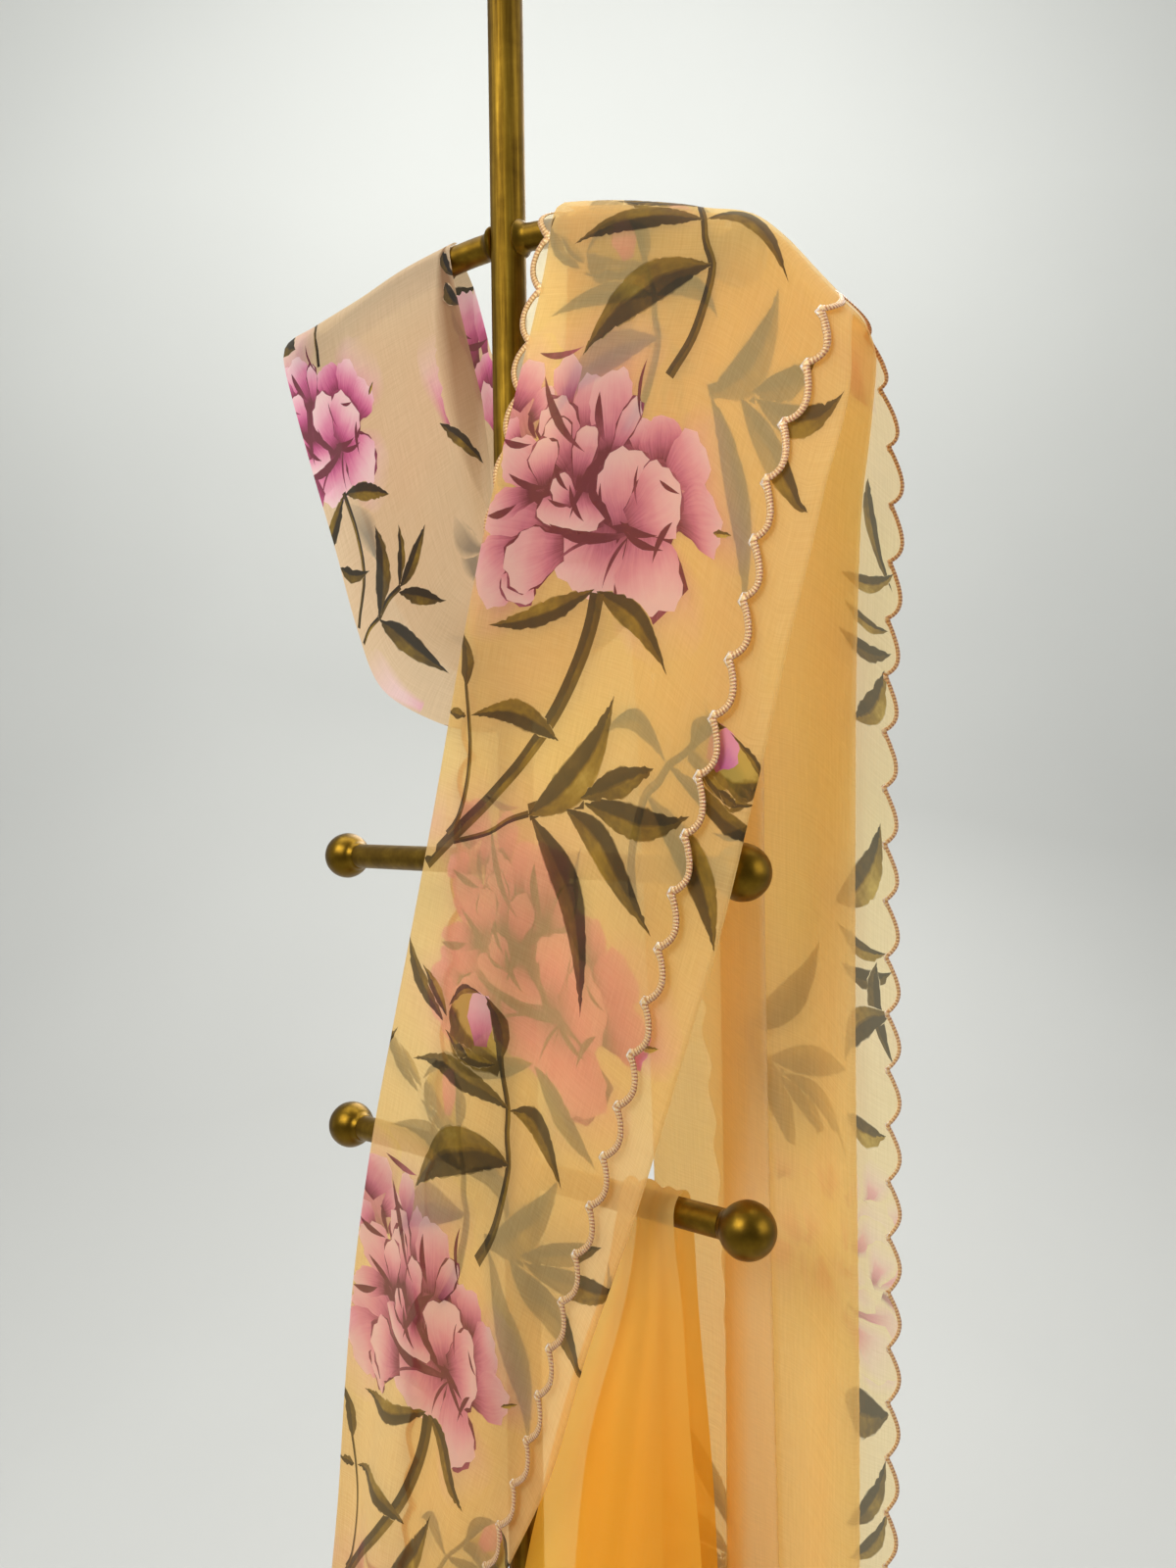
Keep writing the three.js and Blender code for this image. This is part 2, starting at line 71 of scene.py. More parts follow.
def readColumn(rows, column, at):
    # one column of a table, read at a place in its first column
    places = np.array([row[0] for row in rows], float)
    values = np.array([row[column] for row in rows], float)
    return curveThrough(places, values, np.clip(np.asarray(at, float), places[0], places[-1]))


def newPiece(name, vertices, faces, material):
    mesh = bpy.data.meshes.new(name)
    mesh.from_pydata([tuple(v) for v in vertices], [], faces)
    mesh.update()
    mesh.polygons.foreach_set("use_smooth", [True] * len(mesh.polygons))
    piece = bpy.data.objects.new(name, mesh)
    bpy.context.scene.collection.objects.link(piece)
    mesh.materials.append(material)
    return piece


# the stand's sizes, in millimetres, as in the model

stand = {
    "poleRadius": 12.5, "poleTop": 1796, "rodRadius": 9.5, "ballRadius": 18,
    "baseRadius": 190, "baseHeight": 12, "seatGap": 0.3, "weldSize": 3.6,
}
yoke = {"height": 1598.5, "reach": 176, "droop": 50, "turn": math.radians(30)}
bars = {"reach": 193, "turn": math.radians(41.7), "heights": {"middle": 1159, "lower": 941.5}}


def fromYoke(along, depth, height):
    # along runs down the yoke's right arm, depth runs away from the front
    c, s = math.cos(yoke["turn"]), math.sin(yoke["turn"])
    return np.stack(np.broadcast_arrays(along * c + depth * s, -along * s + depth * c, height), -1)


def yokeHeight(along):
    return yoke["height"] - yoke["droop"] * (along / yoke["reach"]) ** 2


# the folded pallu: one band over the right arm, in three layers

# along the arm: top of the outer layer, and how far it stands off the arm
ridge = [
    (-20, 1616, 18.5), (33, 1615.2, 18.5), (64, 1611, 18.5), (100, 1602.8, 19.5),
    (139, 1591, 22), (160, 1583, 25), (181, 1576.5, 26), (192, 1570.5, 26.5),
    (206, 1557, 28), (225, 1533, 31), (244, 1510, 33), (262, 1492, 34),
]

# rows: fall, left fold along and height, outer selvedge along and height, plain fold, inner selvedge
# depth: height, distance out at the pole, slant; loose: fall, fold depth, layer pitch, inner step
palluFront = {
    "facing": -1, "hang": 1450, "waves": 2.4, "phase": 0.12,
    "rows": [
        (0, 53, 1612.5, 248, 1505, 250, 38), (50, 44, 1572.5, 245, 1477, 257, 30),
        (100, 32, 1524.5, 229, 1431, 253, 19), (160, 17, 1467, 216, 1373, 243, 9),
        (230, -1, 1400, 205, 1305, 227, -8), (300, -18, 1332, 186, 1238, 212, -19),
        (400, -42, 1235, 160, 1141, 186, -33), (500, -69, 1139, 130, 1047, 153, -48),
        (600, -97, 1043, 97, 953, 119, -63), (700, -124, 947, 62, 859, 80, -77),
        (800, -145, 849, 31, 765, 46, -87), (900, -158, 750, -8, 672, -2, -96),
        (1000, -169, 651, -42, 580, -44, -112), (1150, -194, 503, -70, 435, -74, -155),
        (1300, -220, 355, -88, 287, -93, -185), (1450, -244, 207, -96, 138, -102, -205),
    ],
    "depth": [
        (140, 42, 0.18), (500, 42, 0.2), (740, 41, 0.22), (941, 38, 0.23), (1160, 34, 0.22),
        (1280, 32, 0.17), (1380, 28, 0.12), (1480, 23, 0.06), (1560, 19, 0.035),
    ],
    "loose": [
        (0, 0, 3, 0), (120, 0, 3, 0), (300, 2, 4.5, 0), (600, 4.5, 5, 0),
        (900, 6, 5.5, 0), (1450, 8, 6, 0),
    ],
}
palluBack = {
    "facing": 1, "hang": 1370, "waves": 2.5, "phase": 0.35,
    "rows": [
        (0, 53, 1612.5, 248, 1505, 250, 38), (50, 55, 1572, 258, 1478, 254, 50),
        (100, 62, 1521.5, 266, 1430, 250, 62), (160, 70, 1461, 266, 1370, 242, 76),
        (230, 74, 1391, 262, 1300, 238, 90), (300, 77, 1321, 259, 1231, 236, 100),
        (500, 85, 1121, 257, 1031, 234, 124), (700, 92, 921, 253, 831, 233, 142),
        (900, 96, 721, 246, 632, 229, 148), (1370, 105, 251, 236, 162, 220, 157),
    ],
    "depth": [
        (140, 42, 0.01), (1200, 41, 0.01), (1380, 34, 0.02), (1480, 26, 0.03), (1560, 19, 0.035),
    ],
    "loose": [
        (0, 0, 3, 0), (120, 0, 3, 0), (300, 6, 6, 2), (500, 8, 7.5, 5), (1370, 10, 8, 5),
    ],
}
band = {
    "archEnd": 50, "bulgeFade": 700, "depthFade": 90, "drift": 2600, "stepFrom": 172, "stepTo": 184,
    "outer": 235, "fold": 6, "middle": 245, "inner": 215, "spare": 9, "spacing": 2.5, "stepBlend": 0.6,
}
# where the inner layer doubles back behind: the falls over which this starts, the shares of the layer
# at its two turns and their places along the arm, and how wide and how raised each turn is
tuck = {
    "fallStart": 60, "fallLength": 240, "shares": (0.3, 0.5), "along": (140, 181), "turn": 0.06, "raise": 3,
}


def bandEdges():
    # flat places of the folds, measured from the outer selvedge
    firstFold = band["outer"]
    middleStart = firstFold + band["fold"]
    secondFold = middleStart + band["middle"]
    innerStart = secondFold + band["fold"]
    return firstFold, middleStart, secondFold, innerStart, innerStart + band["inner"]


def bandRow(side, fall, flat):
    # points across the band at one fall, for flat places measured from the outer selvedge
    rows = side["rows"]
    left, right, plainAt, innerAt = [float(readColumn(rows, c, fall)) for c in (1, 3, 5, 6)]
    width = right - left
    wave, pitch, step = [float(readColumn(side["loose"], c, fall)) for c in (1, 2, 3)]
    plain, inner = (plainAt - left) / width, (innerAt - left) / width
    firstFold, middleStart, secondFold, innerStart, innerEnd = bandEdges()
    turnOne = np.clip((flat - firstFold) / band["fold"], 0, 1) * math.pi
    turnTwo = np.clip((flat - secondFold) / band["fold"], 0, 1) * math.pi
    outerPart = 1 - flat / band["outer"]
    outerPart = np.where(flat < 0, 1 - flat / width, outerPart)
    middlePart = plain * np.clip((flat - middleStart) / band["middle"], 0, 1)
    part = np.clip((flat - innerStart) / band["inner"], 0, 1)
    tucked = smoothStep((fall - tuck["fallStart"]) / tuck["fallLength"]) if side["facing"] > 0 else 0.0
    turnsAt = [
        (mixValues(mixValues(plainAt, innerAt, share), at, tucked) - left) / width
        for share, at in zip(tuck["shares"], tuck["along"])
    ]
    innerPart = np.interp(part, [0, *tuck["shares"], 1], [plain, *turnsAt, inner])
    innerPart = np.where(flat > innerEnd, inner - (flat - innerEnd) / width, innerPart)
    bulge = pitch / 2 / width
    across = np.where(flat < firstFold, outerPart, -bulge * np.sin(turnOne))
    across = np.where(flat > middleStart, middlePart, across)
    across = np.where(flat > secondFold, plain + bulge * np.sin(turnTwo), across)
    across = np.where(flat > innerStart, innerPart, across)
    inward = pitch / 2 * (1 - np.cos(turnOne)) + pitch / 2 * (1 - np.cos(turnTwo))
    for share in tuck["shares"]:
        inward = inward + tucked * tuck["raise"] * smoothStep((part - share) / tuck["turn"] + 0.5)
    along = mixValues(left, right, across)
    span = (along - band["stepFrom"]) / (band["stepTo"] - band["stepFrom"])
    inward = inward + step * smoothStep(span) * smoothStep((inward / pitch - 1) / band["stepBlend"])
    return bandPoints(side, fall, across, along, inward, wave)


def bandPoints(side, fall, across, along, inward, wave):
    rows, archEnd = side["rows"], band["archEnd"]
    alongTop = mixValues(rows[0][1], rows[0][3], across)
    reach = readColumn(ridge, 2, along if fall < archEnd else alongTop)
    turn = np.minimum(fall / reach, math.pi / 2)
    archDrop = reach * (1 - np.cos(turn)) + min(fall, archEnd) - reach * turn
    height = readColumn(ridge, 1, alongTop) - archDrop
    depth = reach * np.sin(turn)
    if fall > archEnd:
        def line(at):
            return mixValues(readColumn(rows, 2, at), readColumn(rows, 4, at), across)
        bulge = height - line(archEnd)
        height = line(fall) + bulge * (1 - smoothStep((fall - archEnd) / band["bulgeFade"]))
        hung = readColumn(side["depth"], 1, height) + readColumn(side["depth"], 2, height) * along
        depth = mixValues(reach, hung, smoothStep((fall - archEnd) / band["depthFade"]))
    phase = side["waves"] * across + side["phase"] + fall / band["drift"]
    depth = depth + wave * np.sin(2 * math.pi * phase)
    depth = depth + creaseDepth(side, across, fall)
    depth = depth - inward * np.sin(turn)
    return fromYoke(along, side["facing"] * depth, height - inward * np.cos(turn))


# soft troughs in the hanging cloth: across and fall at each end, half width, depth
palluFront["creases"] = [
    (0.92, 60, 0.30, 640, 0.10, 1.6), (0.62, 90, 0.10, 420, 0.07, 1.2),
    (0.10, 300, 0.42, 900, 0.08, -1.5), (0.80, 420, 0.52, 1000, 0.07, -1.4),
    (0.30, 60, 0.22, 260, 0.05, 1.0), (0.55, 700, 0.70, 1300, 0.06, 1.8),
]
palluBack["creases"] = [
    (0.90, 60, 0.85, 500, 0.06, 1.2), (0.45, 80, 0.60, 700, 0.08, -1.5),
    (0.75, 300, 0.70, 1200, 0.05, 1.5), (0.20, 200, 0.35, 1100, 0.07, 1.6),
]


def creaseDepth(side, across, fall):
    total = 0.0
    for fromAcross, fromFall, toAcross, toFall, halfWidth, deep in side["creases"]:
        t = (fall - fromFall) / (toFall - fromFall)
        if not 0 < t < 1:
            continue
        middle = mixValues(fromAcross, toAcross, t)
        total = total + deep * math.sin(math.pi * t) * np.exp(-(((across - middle) / halfWidth) ** 2))
    return total


def clothMap(across, along, points):
    # a sheet's shape: flat places across and along it, and the points in space they go to
    return {"across": across, "along": along, "points": points}


def onCloth(cloth, flat):
    # the points in space of flat places on a sheet
    i = np.clip(np.searchsorted(cloth["along"], flat[:, 1]) - 1, 0, len(cloth["along"]) - 2)
    j = np.clip(np.searchsorted(cloth["across"], flat[:, 0]) - 1, 0, len(cloth["across"]) - 2)
    along, across, p = cloth["along"], cloth["across"], cloth["points"]
    t = ((flat[:, 1] - along[i]) / (along[i + 1] - along[i]))[:, None]
    s = ((flat[:, 0] - across[j]) / (across[j + 1] - across[j]))[:, None]
    near = p[i, j] * (1 - s) + p[i, j + 1] * s
    far = p[i + 1, j] * (1 - s) + p[i + 1, j + 1] * s
    return near * (1 - t) + far * t


def palluMap():
    # one cloth from the hem behind (negative) over the arm (zero) to the hem in front
    firstFold, middleStart, secondFold, innerStart, innerEnd = bandEdges()
    spare, wide, fine = band["spare"], band["spacing"], 1.0
    across = np.concatenate([
        np.arange(-spare, firstFold, wide), np.arange(firstFold, middleStart, fine),
        np.arange(middleStart, secondFold, wide), np.arange(secondFold, innerStart, fine),
        np.arange(innerStart, innerEnd + spare + wide, wide),
    ])
    along, rows, curved = [], [], 60
    for side, sign in ((palluBack, -1), (palluFront, 1)):
        falls = [*np.arange(0, curved, wide), *np.arange(curved, side["hang"], 2 * wide), side["hang"]]
        for fall in falls if sign > 0 else falls[:0:-1]:
            along.append(sign * fall)
            rows.append(bandRow(side, float(fall), across))
    return clothMap(across, np.array(along, float), np.array(rows))


print("saree: shapes of the pallu")
palluShape = palluMap()

# the swags between the arms

swag = {
    "radius": 10.4, "tail": 34, "ripple": 1.6, "rippleCount": 2.2, "seam": 0.35, "width": 156,
    "cutWidth": 124, "curl": 26, "curlFrom": 0.8, "curlOver": 0.3, "poleGap": 1.6, "poleReach": 20,
}
leftRidge = [
    (-200, 1563, 19.5), (-192, 1567, 19.5), (-176, 1570.5, 19.5), (-158, 1576, 17),
    (-130, 1585, 11.5), (-90, 1598, 10.4), (-44, 1607.5, 10.4),
]
# rows: lower edge along and height, upper edge along and height, depth at each edge
swagFront = {
    "facing": -1, "leftLow": -196, "leftHigh": -44, "rightLow": 105, "rightHigh": 56,
    "rows": [
        (-190, 1520, -37, 1565, 19, 12), (-170, 1457, -27, 1520, 18, 13.5),
        (-149, 1395, -17, 1468, 17, 15), (-128, 1330, -8, 1428, 16.5, 15),
        (-108, 1288, 0, 1405, 16, 15), (-72, 1266, 8, 1394, 15.5, 15),
        (-25, 1252, 18, 1388, 15, 15), (20, 1256, 29, 1391, 15, 15),
        (58, 1282, 39, 1404, 17, 15), (85, 1328, 46, 1436, 18, 14.5),
        (100, 1395, 51, 1480, 17, 13.5), (104, 1470, 54, 1530, 14, 12),
    ],
}
swagBack = {
    "facing": 1, "leftLow": -194, "leftHigh": -46, "rightLow": 156, "rightHigh": 114,
    "rows": [
        (-186, 1522, -38, 1576, 19, 12), (-163, 1460, -27, 1545, 18, 13.5),
        (-140, 1400, -14, 1512, 17, 15), (-112, 1345, 2, 1482, 16, 15),
        (-78, 1308, 20, 1462, 15, 15), (-36, 1290, 38, 1450, 15, 15),
        (8, 1288, 56, 1446, 15, 15), (54, 1302, 72, 1452, 15, 15),
        (98, 1336, 88, 1470, 11.5, 13), (130, 1392, 102, 1500, 11.5, 12.5),
        (150, 1460, 110, 1534, 12, 12),
    ],
}


def yokeLean(along):
    # an upright slice of the drooping rod is this much taller than the rod
    return np.hypot(1, 2 * yoke["droop"] * along / yoke["reach"] ** 2)


def swagSections(side, u):
    # the model's sections, from the left arm to the tail over the right arm
    facing, sections = side["facing"], []
    along = mixValues(side["leftLow"], side["leftHigh"], u)
    for turn in np.linspace(0, math.pi / 2, 5):
        reach = readColumn(leftRidge, 2, along)
        depth = reach * math.sin(turn) if turn else reach * 0 + swag["seam"] / 2
        height = readColumn(leftRidge, 1, along) - reach * (1 - math.cos(turn))
        sections.append(fromYoke(along, facing * depth, height))
    for i, (low, lowZ, high, highZ, lowOut, highOut) in enumerate(side["rows"]):
        ease = smoothStep(i / 3) * smoothStep((len(side["rows"]) - 1 - i) / 4)
        ripple = swag["ripple"] * ease * np.sin(2 * math.pi * swag["rippleCount"] * u)
        ripple = ripple - swag["curl"] * ease * smoothStep((u - swag["curlFrom"]) / swag["curlOver"])
        depth = mixValues(lowOut, highOut, u) + ripple
        sections.append(fromYoke(mixValues(low, high, u), facing * depth, mixValues(lowZ, highZ, u)))
    along = mixValues(side["rightLow"], side["rightHigh"], u)
    for turn in np.linspace(math.pi / 2, -math.pi / 2, 9):
        height = yokeHeight(along) + swag["radius"] * yokeLean(along) * math.cos(turn)
        sections.append(fromYoke(along, facing * swag["radius"] * math.sin(turn), height))
    sections.append(fromYoke(along, -facing * swag["radius"], yokeHeight(along) - swag["tail"]))
    return np.array(sections)


def smoothRows(sections, places):
    # smooth curves through the sections, read at the given shares of the total length
    steps = np.linalg.norm(np.diff(sections, axis=0), axis=2).mean(axis=1)
    at = np.concatenate(([0], np.cumsum(steps)))
    return curveThrough(at, sections, places * at[-1]), at[-1]


def swagMap(side):
    across = np.arange(0, swag["width"] + 1, 2.0)
    sections = swagSections(side, across / swag["width"])
    length = smoothRows(sections, np.array([0.0, 1.0]))[1]
    along = np.linspace(0, length, int(length / 3))
    points = smoothRows(sections, along / length)[0]
    return clothMap(across, along, clearOfPole(points, side["facing"]))


def clearOfPole(points, facing):
    # the swags pass close by the pole and bulge out just clear of it
    c, s = math.cos(yoke["turn"]), math.sin(yoke["turn"])
    along = points[..., 0] * c - points[..., 1] * s
    depth = facing * (points[..., 0] * s + points[..., 1] * c)
    least = (stand["poleRadius"] + swag["poleGap"]) * np.exp(-((along / swag["poleReach"]) ** 2))
    bulged = np.where(np.abs(along) < 2 * swag["poleReach"], np.maximum(depth, least), depth)
    return fromYoke(along, facing * bulged, points[..., 2])


# the plain body, bunched over the lower bar's right arm

pleats = {
    "radius": 13.2, "count": 3, "flatWidth": 168, "start": 0.9, "uneven": 0.06, "unevenCount": 1.3,
    "unevenDrift": 900, "shallow": 0.6, "swingCount": 0.85, "swingDrift": 1600, "swingStart": 0.2,
    "edgeDepth": 0.8, "overArm": 21, "front": 770, "back": 790, "rows": 150,
}
# rows: fall, left edge, right edge, pleat depth, distance out, slant
pleatFront = [
    (0, 96, 141, 2.0, 0, 0.207), (21, 97, 141, 2.0, 13.2, 0.207), (75, 84, 147, 3.0, 14, 0.2),
    (140, 58, 150, 4.2, 16, 0.17), (220, 32, 156, 5, 17.5, 0.15), (320, 9, 161, 5, 19.5, 0.14),
    (520, 6, 168, 5.4, 20, 0.15), (770, 2, 176, 6, 21, 0.15),
]
pleatBack = [
    (0, 96, 141, 2.6, 0, 0.207), (21, 96, 140, 2.6, 13.2, 0.207), (90, 84, 142, 3.6, 12, 0.17),
    (220, 44, 148, 5, 10, 0.1), (420, 26, 154, 5.5, 9, 0.08), (790, 24, 160, 6, 9, 0.08),
]


def pleatRow(table, facing, fall, u):
    left, right, deep, out, slant = [float(readColumn(table, c, fall)) for c in range(1, 6)]
    radius = pleats["radius"]
    turn = min(fall / radius, math.pi / 2)
    drop = radius * (1 - math.cos(turn)) + fall - radius * turn
    if fall < pleats["overArm"]:
        out = radius * math.sin(turn)
    drift = pleats["unevenCount"] * u + fall / pleats["unevenDrift"]
    uneven = u + pleats["uneven"] * np.sin(2 * math.pi * drift)
    drift = pleats["swingCount"] * u + fall / pleats["swingDrift"] - pleats["swingStart"]
    swing = np.cos(2 * math.pi * drift)
    deep = deep * (pleats["shallow"] + (1 - pleats["shallow"]) * swing)
    along = mixValues(left, right, u)
    taper = mixValues(pleats["edgeDepth"], 1, smoothStep(u * 3))
    pleat = deep * taper * np.sin(2 * math.pi * pleats["count"] * uneven + pleats["start"])
    height = bars["heights"]["lower"] + radius - drop + pleat * math.cos(turn)
    return fromYoke(along, facing * (out + pleat * math.sin(turn)) - slant * along, height)


def pleatMap():
    across = np.linspace(0, pleats["flatWidth"], 181)
    u = across / pleats["flatWidth"]
    over, count = pleats["overArm"], pleats["rows"]
    frontFalls = np.concatenate([np.linspace(pleats["front"], over + 3, count), np.linspace(over, 1.5, 14)])
    backFalls = np.concatenate([np.linspace(0, over, 15), np.linspace(over + 3, pleats["back"], count)])
    rows = [pleatRow(pleatFront, -1, float(f), u) for f in frontFalls]
    rows += [pleatRow(pleatBack, 1, float(f), u) for f in backFalls]
    along = np.concatenate([-frontFalls, backFalls])
    return clothMap(across, along, np.array(rows))


print("saree: shapes of the swags and pleats")
swagFrontShape = swagMap(swagFront)
swagBackShape = swagMap(swagBack)
bodyShape = pleatMap()


# material helpers

def addNode(tree, kind, values=None, **settings):
    node = tree.nodes.new(kind)
    for key, value in settings.items():
        setattr(node, key, value)
    for key, value in (values or {}).items():
        if isinstance(value, bpy.types.NodeSocket):
            tree.links.new(value, node.inputs[key])
        else:
            node.inputs[key].default_value = value
    return node


def colourOf(red, green, blue):
    # a screen colour from 0 to 255, made linear
    shares = [value / 255 for value in (red, green, blue)]
    return (*[c / 12.92 if c < 0.04 else ((c + 0.055) / 1.055) ** 2.4 for c in shares], 1.0)


def rampNode(tree, amount, stops):
    node = addNode(tree, "ShaderNodeValToRGB", {"Fac": amount})
    elements = node.color_ramp.elements
    while len(elements) < len(stops):
        elements.new(0.5)
    for element, (place, colour) in zip(elements, stops):
        element.position, element.color = place, colour
    return node.outputs["Color"]


def mathNode(tree, operation, first, second=0.0, third=0.0, clamp=False):
    values = {0: first, 1: second, 2: third}
    node = addNode(tree, "ShaderNodeMath", values, operation=operation, use_clamp=clamp)
    return node.outputs[0]


def weightedSum(tree, base, *terms):
    # base plus each value times its weight
    for value, weight in terms:
        base = mathNode(tree, "MULTIPLY_ADD", value, weight, base)
    return base


def mixColour(tree, amount, first, second):
    node = addNode(tree, "ShaderNodeMix", data_type="RGBA")
    for socket, value in (("Factor_Float", amount), ("A_Color", first), ("B_Color", second)):
        found = next(s for s in node.inputs if s.identifier == socket)
        if isinstance(value, bpy.types.NodeSocket):
            tree.links.new(value, found)
        else:
            found.default_value = value
    return next(s for s in node.outputs if s.identifier == "Result_Color")


def rangeNode(tree, value, fromMin, fromMax, toMin=0.0, toMax=1.0):
    values = {0: value, 1: fromMin, 2: fromMax, 3: toMin, 4: toMax}
    return addNode(tree, "ShaderNodeMapRange", values, clamp=True).outputs[0]


def noiseNode(tree, vector, scale, detail=3.0, roughness=0.5, distortion=0.0):
    values = {"Vector": vector, "Scale": scale, "Detail": detail, "Roughness": roughness}
    return addNode(tree, "ShaderNodeTexNoise", {**values, "Distortion": distortion}).outputs["Fac"]


def stretchNode(tree, vector, scale):
    return addNode(tree, "ShaderNodeMapping", {"Vector": vector, "Scale": scale}).outputs[0]


def newGroup(name, inputs, outputs):
    group = bpy.data.node_groups.new(name, "ShaderNodeTree")
    for label, kind, value in inputs:
        socket = group.interface.new_socket(label, in_out="INPUT", socket_type="NodeSocket" + kind)
        socket.default_value = value
    for label, kind in outputs:
        group.interface.new_socket(label, in_out="OUTPUT", socket_type="NodeSocket" + kind)
    given = group.nodes.new("NodeGroupInput")
    result = group.nodes.new("NodeGroupOutput")
    return group, given.outputs, result.inputs


def useGroup(tree, group, values):
    return addNode(tree, "ShaderNodeGroup", values, node_tree=group).outputs


def newMaterial(name):
    material = bpy.data.materials.new(name)
    material.use_nodes = True
    tree = material.node_tree
    tree.nodes.clear()
    return material, tree


# shared effects

def makeWeaveGroup():
    # fine threads both ways, with slubs, as a height and a thread tone
    group, given, result = newGroup("threadWeave", [
        ("Flat", "Vector", (0, 0, 0)), ("Threads", "Float", 1800.0),
    ], [("Height", "Float"), ("Tone", "Float")])
    tones = []
    for stretch in ((1.0, 0.035, 1.0), (0.035, 1.0, 1.0)):
        vector = stretchNode(group, given["Flat"], stretch)
        tones.append(noiseNode(group, vector, given["Threads"], 1.0, 0.4))
    both = mathNode(group, "ADD", tones[0], tones[1])
    half = mathNode(group, "MULTIPLY", both, 0.5)
    group.links.new(half, result["Height"])
    group.links.new(rangeNode(group, half, 0.3, 0.7), result["Tone"])
    return group


def makeInkGroup():
    # watercolour printing: petals, leaves and stems from each shape's own along, across and seed
    group, given, result = newGroup("watercolourInk", [
        ("Flat", "Vector", (0, 0, 0)), ("Place", "Vector", (0, 0, 0)), ("Kind", "Vector", (0, 0, 0)),
    ], [("Colour", "Color"), ("Mask", "Float"), ("Petal", "Float"), ("Deep", "Float")])
    place = addNode(group, "ShaderNodeSeparateXYZ", {0: given["Place"]}).outputs
    kind = addNode(group, "ShaderNodeSeparateXYZ", {0: given["Kind"]}).outputs
    along, across, seed = place[0], place[1], place[2]
    petal, leaf, tone = kind[0], kind[1], kind[2]
    inShape = addNode(group, "ShaderNodeCombineXYZ", {0: along, 1: across, 2: seed}).outputs[0]
    paint = noiseNode(group, given["Flat"], 34.0, 4.0, 0.55)
    fine = noiseNode(group, given["Flat"], 160.0, 3.0, 0.6)
    # petals: deep at the base, veined, pale at the rim
    veins = noiseNode(group, stretchNode(group, inShape, (1.1, 7.5, 9.0)), 1.6, 3.0, 0.6)
    wash = weightedSum(group, -0.46, (along, 1.05), (paint, 0.5), (veins, 0.3), (tone, 0.5))
    petalColour = rampNode(group, wash, [
        (0.0, colourOf(112, 30, 60)), (0.16, colourOf(150, 40, 92)), (0.34, colourOf(196, 80, 134)),
        (0.54, colourOf(228, 138, 170)), (0.76, colourOf(246, 194, 204)), (1.0, colourOf(253, 228, 222)),
    ])
    # leaves: a light midrib, one half lighter, dark at both ends
    fromRib = mathNode(group, "ABSOLUTE", across)
    side = rangeNode(group, weightedSum(group, across, (paint, 0.4)), 0.1, 0.34)
    rib = rangeNode(group, fromRib, 0.0, 0.11, 1.0, 0.0)
    ribs = noiseNode(group, stretchNode(group, inShape, (9.0, 1.6, 7.0)), 1.5, 2.0, 0.5)
    ends = mathNode(group, "ABSOLUTE", mathNode(group, "SUBTRACT", along, 0.5))
    green = weightedSum(group, -0.38, (side, 0.56), (paint, 0.7), (ribs, 0.3), (ends, -0.5), (tone, 0.55),
                        (rib, 0.12))
    leafColour = rampNode(group, green, [
        (0.0, colourOf(20, 13, 4)), (0.25, colourOf(54, 38, 6)), (0.5, colourOf(96, 72, 8)),
        (0.75, colourOf(150, 120, 26)), (1.0, colourOf(206, 176, 80)),
    ])
    crisp = mathNode(group, "GREATER_THAN", seed, 0.0)
    # painted shade for the shade shapes: brown at tone 0 where the cloth folds away from the light, grey at
    # tone 1 for faint leaf ghosts
    foldShadeAndGhost = mixColour(group, tone, colourOf(136, 90, 50), colourOf(128, 120, 106))
    colour = mixColour(group, petal, mixColour(group, crisp, foldShadeAndGhost, leafColour), petalColour)
    # ragged rim of the printing
    inside = rangeNode(group, weightedSum(group, fromRib, (fine, 0.12)), 0.96, 1.08, 1.0, 0.0)
    inside = mathNode(group, "MAXIMUM", inside, petal)
    mask = mathNode(group, "MULTIPLY", mathNode(group, "ADD", petal, leaf, clamp=True), inside)
    # washes fade out towards their rim
    rim = mathNode(group, "MAXIMUM", rangeNode(group, along, 0.35, 1.0), rangeNode(group, fromRib, 0.3, 1.0))
    faded = weightedSum(group, 0.85, (rim, -0.85))
    mask = mathNode(group, "MULTIPLY", mask, mathNode(group, "MAXIMUM", faded, crisp))
    group.links.new(colour, result["Colour"])
    group.links.new(mask, result["Mask"])
    group.links.new(petal, result["Petal"])
    group.links.new(rangeNode(group, wash, 0.5, 0.0), result["Deep"])
    return group


def makePatinaGroup():
    # rubbed metal: fine brushing along one way, blotches, and a stain that darkens it all
    group, given, result = newGroup("rubbedPatina", [
        ("Place", "Vector", (0, 0, 0)), ("Stretch", "Vector", (1, 1, 0.05)), ("Stain", "Float", 0.5),
        ("Blotched", "Float", 0.3), ("Marked", "Float", 1.0),
    ], [("Wear", "Float"), ("Brushing", "Float")])
    ways = {0: given["Place"], 1: given["Stretch"]}
    scaled = addNode(group, "ShaderNodeVectorMath", ways, operation="MULTIPLY").outputs[0]
    brushing = noiseNode(group, scaled, 420.0, 4.0, 0.6)
    blotches = noiseNode(group, given["Place"], 48.0, 5.0, 0.62, 0.4)
    wear = weightedSum(group, 0.0, (brushing, 0.85), (blotches, given["Blotched"]), (given["Stain"], -1.0))
    wear = mathNode(group, "SUBTRACT", rangeNode(group, wear, 0.05, 0.45), 0.5)
    group.links.new(mathNode(group, "MULTIPLY_ADD", wear, given["Marked"], 0.5), result["Wear"])
    group.links.new(brushing, result["Brushing"])
    return group


threadWeave = makeWeaveGroup()
watercolourInk = makeInkGroup()
rubbedPatina = makePatinaGroup()


# finishes

